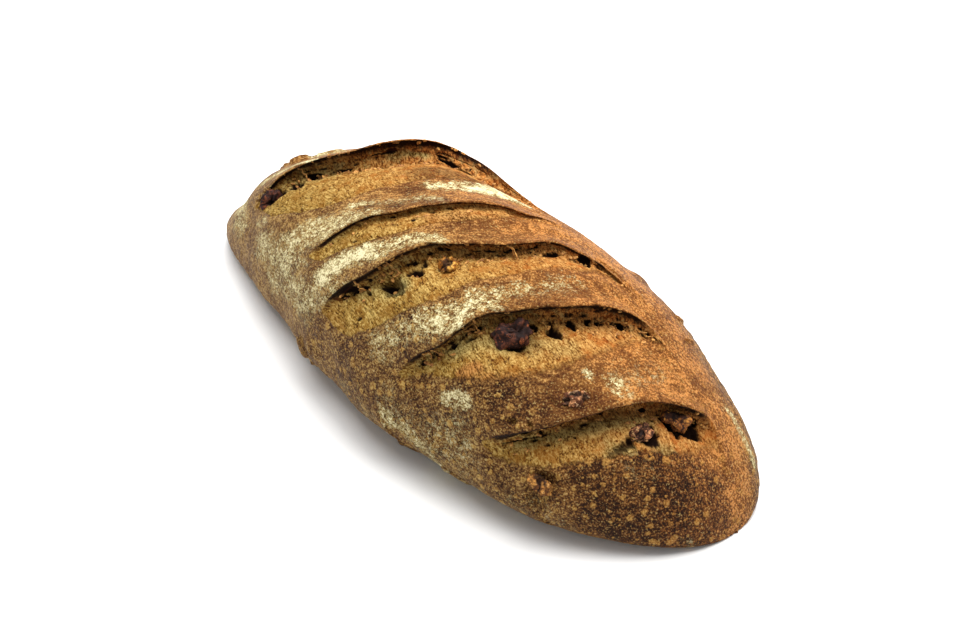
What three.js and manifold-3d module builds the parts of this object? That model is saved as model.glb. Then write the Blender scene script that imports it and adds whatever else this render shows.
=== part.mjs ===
// A rustic hearth loaf with five slanting cuts and pieces of walnut in its torn crumb.
// Millimetres, +Z up. +X runs along the loaf to its near end, and it rests on z = 0.

import * as THREE from 'three';
import { mergeVertices } from 'three/addons/utils/BufferGeometryUtils.js';
import Module from 'manifold-3d';

const wasm = await Module();
wasm.setup();

const { clamp, degToRad, lerp, smoothstep } = THREE.MathUtils;

// Driving sizes of the loaf
const LENGTH = 290;
const WIDTH = 122;
const HEIGHT = 81.6;          // of the dough, without the raised lips
const BEND = 9.6;             // one-sided bow of the loaf's middle line
const SWAY = 8.2;             // s-shaped sway of the middle line
const BELLY = 0.29;           // level of the widest place, as a share of the height
const UNDERCURVE = 1.35;      // how fast the flank turns in below the widest place
const ROUNDNESS = 2.14;       // exponent of the cross-section, 2 is an ellipse
const LAST_SHARE = 0.9999;    // sections are taken up to this share of the half length
const FAR_END = { taper: 1.85, root: 1.38, top: 0.75 };
const NEAR_END = { taper: 2.39, root: 2.22, top: 1.53 };
const FAR_TIP = { begins: 0.3, swing: 20.7, fullness: 0.58 };   // the far tip leans to -Y

// Slow swells of the dough, which keep the outline from being a perfect curve. Each wave has
// a height, its turn in radians per millimetre along X, Y and Z, and a phase.
const SWELLS = [
  { height: 0.45, turns: [0.052, 0.048, 0], phase: 1.7 },
  { height: 0.45, turns: [0.052, -0.048, 0], phase: 0.5 },
  { height: 0.6, turns: [0.11, -0.07, 0], phase: 2 },
  { height: 0.5, turns: [0.05, 0.13, 0.09], phase: 0 },
];
const SWELL_LEVELS = { from: 2, to: 14 };       // the swells fade out towards the base

// Small waves of the torn crumb
const CRUMB_WAVES = [
  { height: 0.35, turns: [0.83, 0.88, -0.42], phase: 0 },
  { height: 0.35, turns: [0.83, -0.26, 0.42], phase: 0 },
  { height: 0.5, turns: [0.4, 1.31, 0.9], phase: 0 },
];

// Cuts: slanted over the loaf. "lip" is the cut's place across that slant, and "from" and
// "to" are its ends, measured over the curve of the crust from the loaf's ridge. The line
// drifts from its lowest place, "low", by a half wave towards each end, and its bulges push
// it about in between. "ear" is how far the lip stands up and "depth" how far the torn floor
// lies down, both more so towards the far side by "skew"; "bloom" is the width torn open.
const CUT_ANGLE = degToRad(47);
const LIP_THICKNESS = 1.8;
const RIDGE = { slope: 0.665, start: -1.5 };    // middle of a slanted section
const STRAIGHT_BEYOND = { far: -104, near: 116 };   // slanted lines drift no more out here
const CUTS = [
  {
    lip: -57.5, from: -66, to: 44, ear: 6.4, depth: 7, skew: 0.55, bloom: 34, undercut: 6,
    low: -16, toStart: { reach: 75, drift: 1 }, toEnd: { reach: 55, drift: 41 },
    bulges: [
      { at: -78, push: -4, width: 9 }, { at: -53, push: 5, width: 10 },
      { at: -20, push: -5, width: 14 },
    ],
  },
  {
    lip: -3.2, from: -71, to: 44, ear: 2.4, depth: 1.4, skew: 0, bloom: 9.5, undercut: 2.2,
    low: 0, toStart: { reach: 60, drift: -2 }, toEnd: { reach: 60, drift: -2 },
    bulges: [{ at: -32, push: 2, width: 7 }, { at: 21, push: 2, width: 7 }],
  },
  {
    lip: 18.7, from: -84, to: 46, ear: 3.4, depth: 4, skew: 0.15, bloom: 18, undercut: 4,
    low: 48, toStart: { reach: 67, drift: 3.4 }, toEnd: { reach: 28, drift: 22 },
    bulges: [
      { at: -41, push: 1.4, width: 8 }, { at: -18, push: -2.4, width: 9 },
      { at: 12, push: 3.2, width: 12 }, { at: 34, push: -3.4, width: 9 },
    ],
  },
  {
    lip: 49.4, from: -74, to: 46, ear: 4, depth: 4.8, skew: 0.35, bloom: 19, undercut: 4.6,
    low: 60.7, toStart: { reach: 79, drift: 10 }, toEnd: { reach: 58, drift: 21.6 },
    bulges: [
      { at: -11, push: 2, width: 8 }, { at: 4, push: -2, width: 8 },
      { at: 33, push: 1.2, width: 10 }, { at: 62, push: -2, width: 14 },
    ],
  },
  {
    lip: 79.1, from: -58, to: 52, ear: 3.8, depth: 5, skew: 0.45, bloom: 18, undercut: 4.4,
    low: 89, toStart: { reach: 62, drift: 14 }, toEnd: { reach: 38, drift: 16 },
    bulges: [{ at: 96, push: -2, width: 10 }],
  },
];

// Profile of a cut. On the crust before it, a ring's place is a share of that band's width,
// shut and then open, and it rises by a share of the ear.
const BAND_RINGS = [
  { shut: -0.92, open: -0.92, rise: 0, torn: 0 },
  { shut: -0.6, open: -0.58, rise: 0.2, torn: 0.3 },
  { shut: -0.3, open: -0.26, rise: 0.62, torn: 0.3 },
];
const FIRST_BAND = 24;        // width of the band before the first cut
const FLOOR_BEGINS = 4.6;     // deepest line of a cut, as far behind the lip while it is shut
const FLOOR_CURVE = 1.7;      // how soon the torn floor comes up again
const FLOOR_CREST = 1.4;      // swelling of the torn floor towards its far edge

// Mesh fineness
const COLUMNS = 64;
const TOP_COLUMNS = 0.74;     // share of the columns on the top and flanks
const OVERHANG = 0.14 * Math.PI;    // and how far those reach below the widest level
const END_RINGS = 8;
const BLOOM_STEP = 5.2;
const NORMAL_STEP = 0.4;
const SKIN_SEARCH = 2.2;      // the skin lies within this many half sizes of a section's middle
const HALVINGS = { chord: 24, reach: 40, skin: 36 };    // steps of each search for an edge
const DEGREES_APART = 0.5;    // directions tried in looking for a place on the crust
const SAME_POINT = 1e-5;      // corners closer than this are one
const SHUT_LEVELS = { from: 0.02, to: 0.3 };    // sines of the angles where cuts close
const FLAT_BELOW = 0.02;      // points this low belong to the flat base

// Lumps baked onto the crust, and broad swells and hollows of the flanks
const LUMPS = [
  { cut: 0, over: -22, back: -25, radius: 5, height: 1.8 },
  { cut: 0, over: -53, back: -26.6, radius: 14, height: -5 },
  { cut: 0, over: -72, back: -13, radius: 12, height: 1.3 },
  { cut: 1, over: -97, back: 20.6, radius: 5, height: 1.8 },
  { cut: 1, over: 69, back: 7.6, radius: 5, height: 1.8 },
  { cut: 2, over: 79, back: 7.8, radius: 20, height: -1.6 },
  { cut: 3, over: -95, back: -9, radius: 18, height: 2.4 },
  { cut: 3, over: -89, back: 0.9, radius: 4, height: 1.6 },
  { cut: 3, over: -75, back: 23.5, radius: 4, height: 1.6 },
  { cut: 4, over: -73, back: -2, radius: 16, height: -2.2 },
  { cut: 4, over: -45, back: 19, radius: 18, height: 1.8 },
];

// Gas holes torn open: cut number, place over the crust, way back from its lip, half sizes
const HOLE_SINK = 0.8;        // middle of a hole, as a share of the cut's depth there
const HOLES = [
  { cut: 0, over: -34, back: 8.6, radii: [3.0, 5.2, 4.2] },
  { cut: 0, over: 2, back: 4.5, radii: [3.2, 5.6, 4.4] },
  { cut: 0, over: 24, back: 6.5, radii: [2.8, 4.6, 4.0] },
  { cut: 2, over: -53, back: 7, radii: [3.4, 4.8, 3.6] },
  { cut: 2, over: 21, back: 3.4, radii: [2.2, 6.0, 3.6] },
  { cut: 2, over: 33, back: 5.4, radii: [2.8, 3.2, 4.4] },
  { cut: 3, over: -7.6, back: 4.9, radii: [2.6, 4.2, 4.0] },
  { cut: 3, over: 3, back: 2.6, radii: [2.0, 3.2, 3.6] },
  { cut: 3, over: 26, back: 4.5, radii: [2.0, 4.2, 3.6] },
  { cut: 4, over: -5, back: 13.2, radii: [2.6, 4.6, 3.4] },
];

// Walnut pieces that show, each sunk in its own pocket: place as for a hole, rise of the
// middle above the torn floor, whole size across the cut, along it and outwards, and turn
const LOBES = { core: 0.9, count: 3, swell: 0.12, twist: 0.6, ripple: 0.08, ripples: 4.2 };
const POCKET_GAP = 0.35;
const POCKET_SPREAD = 1.3;    // a pocket is wider by this many gaps on each side
const WALNUTS = [
  {
    name: 'walnut_far_cut', seed: 1, cut: 0, over: -57, back: 3.4, rise: 0.5,
    size: [8, 11, 8], turn: 0.4,
  },
  {
    name: 'walnut_third_cut', seed: 2, cut: 2, over: -27, back: 5.9, rise: 0.6,
    size: [7, 8, 7], turn: 0.9,
  },
  {
    name: 'walnut_fourth_cut', seed: 3, cut: 3, over: -24, back: 4.9, rise: 1.6,
    size: [10, 17, 9], turn: 0.1,
  },
  {
    name: 'walnut_on_crust', seed: 4, cut: 4, over: -15, back: -4.3, rise: 0.6,
    size: [7, 13, 7], turn: 0.2,
  },
  {
    name: 'walnut_fifth_cut', seed: 5, cut: 4, over: 9, back: 9.6, rise: 1,
    size: [7, 9, 7], turn: 0.7,
  },
  {
    name: 'walnut_under_lip', seed: 6, cut: 4, over: 32, back: 3.3, rise: 1.4,
    size: [7, 14, 7], turn: -0.2,
  },
  {
    name: 'walnut_near_flank', seed: 7, cut: 4, over: -41.6, back: 15.6, rise: -0.6,
    size: [6, 12, 8], turn: -0.5,
  },
];

// Colours read from the bake
const CRUST_BROWN = 0x8f5c33;
const WALNUT_BROWN = 0x6a3a26;

const alongDirection = new THREE.Vector3(Math.cos(CUT_ANGLE), Math.sin(CUT_ANGLE), 0);
const acrossDirection = new THREE.Vector3(Math.sin(CUT_ANGLE), -Math.cos(CUT_ANGLE), 0);

// Halves the step between a value that passes the test and one that fails it
function bisect(passes, fails, steps, test) {
  let within = passes;
  let without = fails;
  for (let i = 0; i < steps; i += 1) {
    const half = (within + without) / 2;
    if (test(half)) within = half;
    else without = half;
  }
  return within;
}

function sumOfWaves(list, point) {
  return list.reduce((sum, { height, turns, phase }) => (
    sum + height * Math.sin(turns[0] * point.x + turns[1] * point.y + turns[2] * point.z + phase)
  ), 0);
}

// Middle line, half width, height and widest level of the loaf at a place along X
function sectionAt(x) {
  const t = x / (LENGTH / 2);
  const end = x > 0 ? NEAR_END : FAR_END;
  const reach = Math.min(Math.abs(t), LAST_SHARE);
  const fullness = (1 - reach ** end.taper) ** (1 / end.root);
  const height = HEIGHT * fullness ** end.top;
  const tip = clamp((-t - FAR_TIP.begins) / (1 - FAR_TIP.begins), 0, 1);
  return {
    middle: BEND * (t * t - 0.5) + SWAY * (t ** 3 - 0.6 * t) - FAR_TIP.swing * tip * tip,
    halfWidth: (WIDTH / 2) * fullness,
    rightShare: 1 + FAR_TIP.fullness * tip * (1 - tip ** 4),
    height,
    belly: BELLY * height,
  };
}

// Level set of the loaf: below 1 inside, above 1 outside
function levelAt(point) {
  const { middle, halfWidth, rightShare, height, belly } = sectionAt(point.x);
  const overEnd = Math.max(0, Math.abs(point.x) - (LENGTH / 2) * LAST_SHARE);
  const side = point.y > middle ? halfWidth * rightShare : halfWidth;
  const sideways = Math.abs(point.y - middle) / side;
  const upwards = point.z > belly
    ? (point.z - belly) / (height - belly)
    : (belly - point.z) / (UNDERCURVE * belly);
  return (sideways ** ROUNDNESS + upwards ** ROUNDNESS) ** (1 / ROUNDNESS) + overEnd;
}

// Direction straight out of the loaf near a point
function outward(point) {
  const normal = new THREE.Vector3();
  for (const axis of ['x', 'y', 'z']) {
    const ahead = point.clone();
    const behind = point.clone();
    ahead[axis] += NORMAL_STEP;
    behind[axis] -= NORMAL_STEP;
    normal[axis] = levelAt(ahead) - levelAt(behind);
  }
  return normal.normalize();
}

// Half wave and bulges by which a cut's line drifts at a place along it
function driftOf(cut, along) {
  const { reach, drift } = along < cut.low ? cut.toStart : cut.toEnd;
  const share = Math.min(2, Math.abs(along - cut.low) / reach);
  const bulging = cut.bulges.reduce((sum, { at, push, width }) => (
    sum + push * Math.exp(-(((along - at) / width) ** 2))
  ), 0);
  return drift * Math.sin((Math.PI / 2) * share) ** 2 + bulging;
}

// Drift of any slanted line, blended between neighbouring cuts and gone at the loaf's ends
function driftAt(across, along) {
  const drifts = CUTS.map((cut) => driftOf(cut, along));
  const places = CUTS.map((cut) => cut.lip);
  const last = CUTS.length - 1;
  const { far, near } = STRAIGHT_BEYOND;
  if (across <= places[0]) return drifts[0] * clamp((across - far) / (places[0] - far), 0, 1);
  if (across >= places[last]) {
    return drifts[last] * clamp((near - across) / (near - places[last]), 0, 1);
  }
  const next = places.findIndex((place) => place > across);
  const share = (across - places[next - 1]) / (places[next] - places[next - 1]);
  return lerp(drifts[next - 1], drifts[next], share);
}

function planPoint(across, along, z) {
  return new THREE.Vector3(0, 0, z)
    .addScaledVector(acrossDirection, across)
    .addScaledVector(alongDirection, along);
}

// Chord of the loaf's plan on a line across = constant, or null beyond the ends
function chordAt(across) {
  const inside = (along) => {
    const point = planPoint(across, along, 0);
    if (Math.abs(point.x) >= LENGTH / 2) return false;
    point.z = sectionAt(point.x).belly;
    return levelAt(point) < 1;
  };
  const met = [];
  for (let along = -LENGTH / 2; along <= LENGTH / 2; along += 1) {
    if (inside(along)) met.push(along);
  }
  if (met.length === 0) return null;
  const [start, end] = [met[0], met[met.length - 1]];
  return {
    start: bisect(start, start - 1, HALVINGS.chord, inside),
    end: bisect(end, end + 1, HALVINGS.chord, inside),
  };
}

// Furthest line across that still meets the loaf, searched from its middle outwards
function reachAcross(sign) {
  const meets = (across) => chordAt(across) !== null;
  return bisect(0, (sign * LENGTH) / 2, HALVINGS.reach, meets);
}

// Distance over the crust from the ridge, negative on the near side
function overCrust(point) {
  const across = point.dot(acrossDirection);
  const ridge = planPoint(across, RIDGE.slope * across + RIDGE.start, 0);
  const sideways = point.dot(alongDirection) - ridge.dot(alongDirection);
  const drop = Math.max(0, sectionAt(ridge.x).height - point.z);
  return Math.sign(sideways) * Math.hypot(sideways, drop);
}

// Place between a cut's ends: -1 at the near one, 1 at the far one
function shareAlong(cut, over) {
  const half = (cut.to - cut.from) / 2;
  return (over - (cut.from + cut.to) / 2) / half;
}

// How open a cut is at a distance over the crust: 0 at its ends, 1 in its middle
function openness(cut, over) {
  const share = Math.abs(shareAlong(cut, over));
  return share < 1 ? 1 - share ** 3 : 0;
}

// How deep a cut's floor lies at its lip
function depthAt(cut, over) {
  return cut.depth * openness(cut, over) * (1 + cut.skew * shareAlong(cut, over));
}

// Rings of one cut: their place where the crust is shut, where it is open, and the relief
function cutRings(cut, band) {
  const { ear, depth, undercut, bloom } = cut;
  const rings = BAND_RINGS.map(({ shut, open, rise, torn }) => (
    { shut: shut * band, open: open * band, relief: rise * ear, torn }
  ));
  rings.push(
    { shut: -1.9, open: -0.9, relief: ear, torn: 0.4 },
    { shut: -0.6, open: 0, relief: ear - LIP_THICKNESS / 2, torn: 0.4 },
    { shut: 0.7, open: -0.8, relief: ear - LIP_THICKNESS, torn: 0.4 },
    { shut: 2.0, open: -undercut * 0.75, relief: ear * 0.2, torn: 0.6 },
    { shut: 3.3, open: -undercut, relief: -depth * 0.6, torn: 1 },
    { shut: FLOOR_BEGINS, open: -undercut * 0.25, relief: -depth, torn: 1 },
  );
  const steps = Math.max(2, Math.round((bloom - FLOOR_BEGINS) / BLOOM_STEP));
  for (let i = 1; i <= steps; i += 1) {
    const share = i / steps;
    const crest = FLOOR_CREST * Math.sin(Math.PI * share) * share;
    rings.push({
      shut: lerp(FLOOR_BEGINS, bloom, share),
      open: lerp(-undercut * 0.25, bloom, share),
      relief: crest - depth * (1 - share) ** FLOOR_CURVE,
      torn: 1 - share * share,
    });
  }
  return rings.map((ring) => ({ ...ring, cut, place: cut.lip + ring.shut }));
}

// All rings of the mesh between the two end points
function listRings(farReach, nearReach) {
  const middleRings = [];
  CUTS.forEach((cut, i) => {
    const band = i > 0 ? cut.lip - CUTS[i - 1].lip - CUTS[i - 1].bloom : FIRST_BAND;
    middleRings.push(...cutRings(cut, band));
  });
  const endRings = (reach, inner) => {
    const rings = [];
    for (let i = 1; i < END_RINGS; i += 1) {
      const share = 1 - Math.cos((i / END_RINGS) * Math.PI / 2);
      rings.push({ place: lerp(reach, inner, share), cut: null });
    }
    return rings;
  };
  const first = Math.min(...middleRings.map((ring) => ring.place));
  const last = Math.max(...middleRings.map((ring) => ring.place));
  const rings = [...endRings(farReach, first), ...middleRings, ...endRings(nearReach, last)];
  return rings.sort((a, b) => a.place - b.place);
}

// Point of the loaf's skin on one ring, in the direction of an angle around it
function skinPoint(ring, angle) {
  const across = ring.place;
  const { start, end } = ring.chord;
  const middle = (start + end) / 2;
  const halfChord = (end - start) / 2;
  const level = sectionAt(planPoint(across, middle, 0).x).belly;
  const at = (reach) => {
    const along = middle - reach * halfChord * Math.cos(angle);
    const z = level + reach * (HEIGHT / 2) * Math.sin(angle);
    return planPoint(across + driftAt(across, along), along, z);
  };
  const inside = (reach) => at(reach).z > 0 && levelAt(at(reach)) < 1;
  return at(bisect(0, SKIN_SEARCH, HALVINGS.skin, inside));
}

// Moves a skin point to its place in the opened crust
function openCrust(ring, angle, skin, lumps) {
  const topShare = smoothstep(Math.sin(angle), SHUT_LEVELS.from, SHUT_LEVELS.to);
  const normal = outward(skin);
  let lift = sumOfWaves(SWELLS, skin) * smoothstep(skin.z, SWELL_LEVELS.from, SWELL_LEVELS.to);
  for (const lump of lumps) {
    lift += lump.height * Math.exp(-((skin.distanceTo(lump.centre) / lump.radius) ** 2));
  }
  const point = skin.clone().addScaledVector(normal, lift);
  if (!ring.cut) return point;
  const over = overCrust(skin);
  const open = openness(ring.cut, over) * topShare;
  const side = 1 + ring.cut.skew * shareAlong(ring.cut, over);
  const waves = ring.torn * sumOfWaves(CRUMB_WAVES, skin);
  point.addScaledVector(acrossDirection, (ring.open - (ring.place - ring.cut.lip)) * open);
  point.addScaledVector(normal, (ring.relief * side + waves) * open);
  return point;
}

// More columns over the top than under the base
function columnAngle(share) {
  if (share < TOP_COLUMNS) return lerp(-OVERHANG, Math.PI + OVERHANG, share / TOP_COLUMNS);
  const under = (share - TOP_COLUMNS) / (1 - TOP_COLUMNS);
  return lerp(Math.PI + OVERHANG, 2 * Math.PI - OVERHANG, under);
}

// The loaf's skin: a sphere's grid with its poles at the two ends, moved onto the crust
function loafGeometry() {
  const farReach = reachAcross(-1);
  const nearReach = reachAcross(1);
  const rings = listRings(farReach, nearReach);
  rings.forEach((ring) => {
    ring.chord = chordAt(ring.place);
  });
  const sphere = new THREE.SphereGeometry(1, COLUMNS, rings.length + 1);
  const position = sphere.attributes.position;
  const uv = sphere.attributes.uv;
  const poleAt = (reach) => {
    const { start, end } = chordAt(reach);
    const point = planPoint(reach, (start + end) / 2, 0);
    point.z = sectionAt(point.x).belly;
    return point;
  };
  const poles = [poleAt(farReach), poleAt(nearReach)];
  const lumps = LUMPS.map((lump) => (
    { ...lump, centre: placeOnCut(lump.cut, lump.over, lump.back).skin }
  ));
  for (let i = 0; i < position.count; i += 1) {
    const row = Math.round((1 - uv.getY(i)) * (rings.length + 1));
    const column = (i % (COLUMNS + 1)) % COLUMNS;
    let point = poles[row === 0 ? 0 : 1];
    if (row > 0 && row <= rings.length) {
      const ring = rings[row - 1];
      const angle = columnAngle(column / COLUMNS);
      point = openCrust(ring, angle, skinPoint(ring, angle), lumps);
      if (point.z < FLAT_BELOW) point.z = 0;
    }
    position.setXYZ(i, point.x, point.y, point.z);
  }
  return sphere;
}

// Joins the doubled corners of a geometry and makes a closed solid of it
function toSolid(geometry) {
  const bare = geometry.clone();
  bare.deleteAttribute('normal');
  bare.deleteAttribute('uv');
  const merged = mergeVertices(bare, SAME_POINT);
  return new wasm.Manifold(new wasm.Mesh({
    numProp: 3,
    vertProperties: new Float32Array(merged.attributes.position.array),
    triVerts: new Uint32Array(merged.index.array),
  }));
}

function toGeometry(solid) {
  const mesh = solid.getMesh();
  const geometry = new THREE.BufferGeometry();
  geometry.setAttribute('position', new THREE.BufferAttribute(mesh.vertProperties, 3));
  geometry.setIndex(new THREE.BufferAttribute(mesh.triVerts, 1));
  geometry.computeVertexNormals();
  return geometry;
}

// Skin point and outward direction at a place named by a cut
function placeOnCut(cutNumber, over, back) {
  const across = CUTS[cutNumber].lip + back;
  const ring = { place: across, chord: chordAt(across) };
  let skin = null;
  let leastMiss = Infinity;
  for (let degrees = 0; degrees <= 180; degrees += DEGREES_APART) {
    const tried = skinPoint(ring, degToRad(degrees));
    const miss = Math.abs(overCrust(tried) - over);
    if (miss < leastMiss) {
      skin = tried;
      leastMiss = miss;
    }
  }
  return { skin, normal: outward(skin) };
}

// Frame on the skin: first axis across the cuts, second along them, third outwards
function frameAt(skin, normal) {
  const along = alongDirection.clone();
  along.addScaledVector(normal, -normal.dot(alongDirection)).normalize();
  const across = new THREE.Vector3().crossVectors(along, normal);
  return new THREE.Matrix4().makeBasis(across, along, normal).setPosition(skin);
}

// A torn gas hole, an egg-shaped hollow sunk under the lip
function holeSolid(hole) {
  const { skin, normal } = placeOnCut(hole.cut, hole.over, hole.back);
  const depth = depthAt(CUTS[hole.cut], hole.over);
  const centre = skin.clone().addScaledVector(normal, -depth * HOLE_SINK);
  const egg = new THREE.IcosahedronGeometry(1, 1);
  egg.scale(...hole.radii);
  egg.applyMatrix4(frameAt(centre, normal));
  return toSolid(egg);
}

// A broken walnut quarter: lobes with furrows between them
function walnutGeometry(walnut) {
  const geometry = new THREE.IcosahedronGeometry(1, 2);
  const position = geometry.attributes.position;
  const point = new THREE.Vector3();
  for (let i = 0; i < position.count; i += 1) {
    point.fromBufferAttribute(position, i);
    const turn = Math.atan2(point.z, point.x) + LOBES.twist * point.y + walnut.seed;
    const lobe = LOBES.swell * Math.cos(LOBES.count * turn);
    const ripple = LOBES.ripple * Math.sin(LOBES.ripples * point.y + 2 * walnut.seed);
    point.multiplyScalar(LOBES.core + lobe + ripple);
    position.setXYZ(i, point.x, point.y, point.z);
  }
  geometry.scale(walnut.size[0] / 2, walnut.size[1] / 2, walnut.size[2] / 2);
  geometry.rotateZ(walnut.turn);
  return geometry;
}

function placeWalnut(walnut) {
  const { skin, normal } = placeOnCut(walnut.cut, walnut.over, walnut.back);
  const cut = CUTS[walnut.cut];
  const floor = walnut.back > 0 && walnut.back < cut.bloom
    ? -depthAt(cut, walnut.over) * (1 - walnut.back / cut.bloom) ** FLOOR_CURVE
    : 0;
  const centre = skin.clone().addScaledVector(normal, floor + walnut.rise);
  return frameAt(centre, normal);
}

// Pocket of a walnut: its own form, wider by the gap all round
function pocketGeometry(geometry) {
  geometry.computeBoundingBox();
  const size = geometry.boundingBox.getSize(new THREE.Vector3());
  const growth = 2 * POCKET_SPREAD * POCKET_GAP;
  const pocket = geometry.clone();
  pocket.scale(1 + growth / size.x, 1 + growth / size.y, 1 + growth / size.z);
  return pocket;
}

// Whole part
const group = new THREE.Group();
let loafSolid = toSolid(loafGeometry());
for (const hole of HOLES) {
  loafSolid = loafSolid.subtract(holeSolid(hole));
}
const walnutMeshes = WALNUTS.map((walnut) => {
  const geometry = walnutGeometry(walnut);
  const frame = placeWalnut(walnut);
  loafSolid = loafSolid.subtract(toSolid(pocketGeometry(geometry).applyMatrix4(frame)));
  const solid = toSolid(geometry.applyMatrix4(frame));
  const material = new THREE.MeshStandardMaterial({ color: WALNUT_BROWN, roughness: 0.75 });
  const mesh = new THREE.Mesh(toGeometry(solid), material);
  mesh.name = walnut.name;
  return mesh;
});

const crust = new THREE.MeshStandardMaterial({ color: CRUST_BROWN, roughness: 0.8 });
const loaf = new THREE.Mesh(toGeometry(loafSolid), crust);
loaf.name = 'loaf';

// The origin goes to the middle of the base
const bounds = new THREE.Box3().setFromObject(loaf);
const middle = bounds.getCenter(new THREE.Vector3());
group.add(loaf, ...walnutMeshes);
for (const piece of group.children) {
  piece.position.set(-middle.x, -middle.y, -bounds.min.z);
}
group.updateMatrixWorld(true);

export default group;
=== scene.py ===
"""Dresses the multigrain loaf: its baked crust, torn crumb, walnuts, threads and shreds."""

import math
import random

import bmesh
import bpy
import numpy as np
from mathutils import Matrix, Vector


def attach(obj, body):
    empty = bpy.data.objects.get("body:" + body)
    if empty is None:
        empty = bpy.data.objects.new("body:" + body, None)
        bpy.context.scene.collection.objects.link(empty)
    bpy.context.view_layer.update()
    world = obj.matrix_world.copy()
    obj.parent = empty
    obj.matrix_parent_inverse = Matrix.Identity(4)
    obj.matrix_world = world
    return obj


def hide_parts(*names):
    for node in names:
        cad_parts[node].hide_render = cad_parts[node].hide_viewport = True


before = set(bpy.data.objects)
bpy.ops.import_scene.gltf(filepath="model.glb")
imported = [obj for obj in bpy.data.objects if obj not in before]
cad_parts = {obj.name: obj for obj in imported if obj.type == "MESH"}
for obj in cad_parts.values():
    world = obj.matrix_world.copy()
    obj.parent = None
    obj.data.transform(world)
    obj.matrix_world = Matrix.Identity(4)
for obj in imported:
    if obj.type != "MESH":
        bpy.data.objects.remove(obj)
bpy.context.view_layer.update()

MM = 0.001

# The loaf's own working axes, in millimetres. The part's origin lies at this place in them.
ORIGIN = np.array([0.082, -6.419, 0.0])

# Sizes of the loaf, the same as those of its solid
LENGTH = 290
WIDTH = 122
HEIGHT = 81.6
BEND = 9.6
SWAY = 8.2
BELLY = 0.29
UNDERCURVE = 1.35
ROUNDNESS = 2.14
LAST_SHARE = 0.9999
FAR_END = dict(taper=1.85, root=1.38, top=0.75)
NEAR_END = dict(taper=2.39, root=2.22, top=1.53)
FAR_TIP = dict(begins=0.3, swing=20.7, fullness=0.58)
SWELLS = [
    (0.45, (0.052, 0.048, 0), 1.7),
    (0.45, (0.052, -0.048, 0), 0.5),
    (0.6, (0.11, -0.07, 0), 2.0),
    (0.5, (0.05, 0.13, 0.09), 0.0),
]
SWELL_LEVELS = (2, 14)

# The five cuts, as in the solid
CUT_ANGLE = math.radians(47)
ALONG = np.array([math.cos(CUT_ANGLE), math.sin(CUT_ANGLE), 0.0])
ACROSS = np.array([math.sin(CUT_ANGLE), -math.cos(CUT_ANGLE), 0.0])
RIDGE = (0.665, -1.5)
STRAIGHT_BEYOND = (-104, 116)
CUTS = [
    dict(lip=-57.5, start=-66, end=44, ear=6.4, depth=7, skew=0.55, bloom=34, undercut=6,
         low=-16, to_start=(75, 1), to_end=(55, 41),
         bulges=[(-78, -4, 9), (-53, 5, 10), (-20, -5, 14)]),
    dict(lip=-3.2, start=-71, end=44, ear=2.4, depth=1.4, skew=0, bloom=9.5, undercut=2.2,
         low=0, to_start=(60, -2), to_end=(60, -2), bulges=[(-32, 2, 7), (21, 2, 7)]),
    dict(lip=18.7, start=-84, end=46, ear=3.4, depth=4, skew=0.15, bloom=18, undercut=4,
         low=48, to_start=(67, 3.4), to_end=(28, 22),
         bulges=[(-41, 1.4, 8), (-18, -2.4, 9), (12, 3.2, 12), (34, -3.4, 9)]),
    dict(lip=49.4, start=-74, end=46, ear=4, depth=4.8, skew=0.35, bloom=19, undercut=4.6,
         low=60.7, to_start=(79, 10), to_end=(58, 21.6),
         bulges=[(-11, 2, 8), (4, -2, 8), (33, 1.2, 10), (62, -2, 14)]),
    dict(lip=79.1, start=-58, end=52, ear=3.8, depth=5, skew=0.45, bloom=18, undercut=4.4,
         low=89, to_start=(62, 14), to_end=(38, 16), bulges=[(96, -2, 10)]),
]
# How far back the crumb is bare, as (place over the crust, width) along each cut
BARE = [
    [(-66, 16), (-56, 30), (-47, 34), (-27, 34), (-2, 33), (10, 31), (22, 26), (32, 18), (44, 6)],
    [(-71, 1), (-67, 7), (-50, 10), (-29, 10.5), (-8, 8), (6, 5), (24, 0), (40, -3)],
    [(-86, 4), (-80, 14), (-68, 18), (-47, 19), (-30, 16), (0, 12.5), (24, 12), (40, 7), (46, 1)],
    [(-74, 4), (-62, 10), (-54, 16), (-45, 20), (-22, 19), (11, 15), (31, 11), (48, 2)],
    [(-58, 2), (-53, 6), (-38, 14), (-28, 17), (-13, 19), (16, 17), (32, 14), (50, 8)],
]
SOFTNESS = [2.5, 2, 2.5, 6, 6]         # how softly the bare crumb fades into the crust
SHADE = [0.9, 0.25, 0.9, 1.0, 0.8]     # how strong the wall colour, the crags and the painted crevice shade at the foot of each wall are
FIRST_BAND = 24
FLOOR_BEGINS = 4.6
FLOOR_CURVE = 1.7
FLOOR_CREST = 1.4

# Lumps baked onto the crust and broad swells and hollows of the flanks: cut, over, back,
# radius, height
LUMPS = [
    (0, -22, -25, 5, 1.8),
    (0, -53, -26.6, 14, -5),
    (0, -72, -13, 12, 1.3),
    (1, -97, 20.6, 5, 1.8),
    (1, 69, 7.6, 5, 1.8),
    (2, 79, 7.8, 20, -1.6),
    (3, -95, -9, 18, 2.4),
    (3, -89, 0.9, 4, 1.6),
    (3, -75, 23.5, 4, 1.6),
    (4, -73, -2, 16, -2.2),
    (4, -45, 19, 18, 1.8),
]
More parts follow.
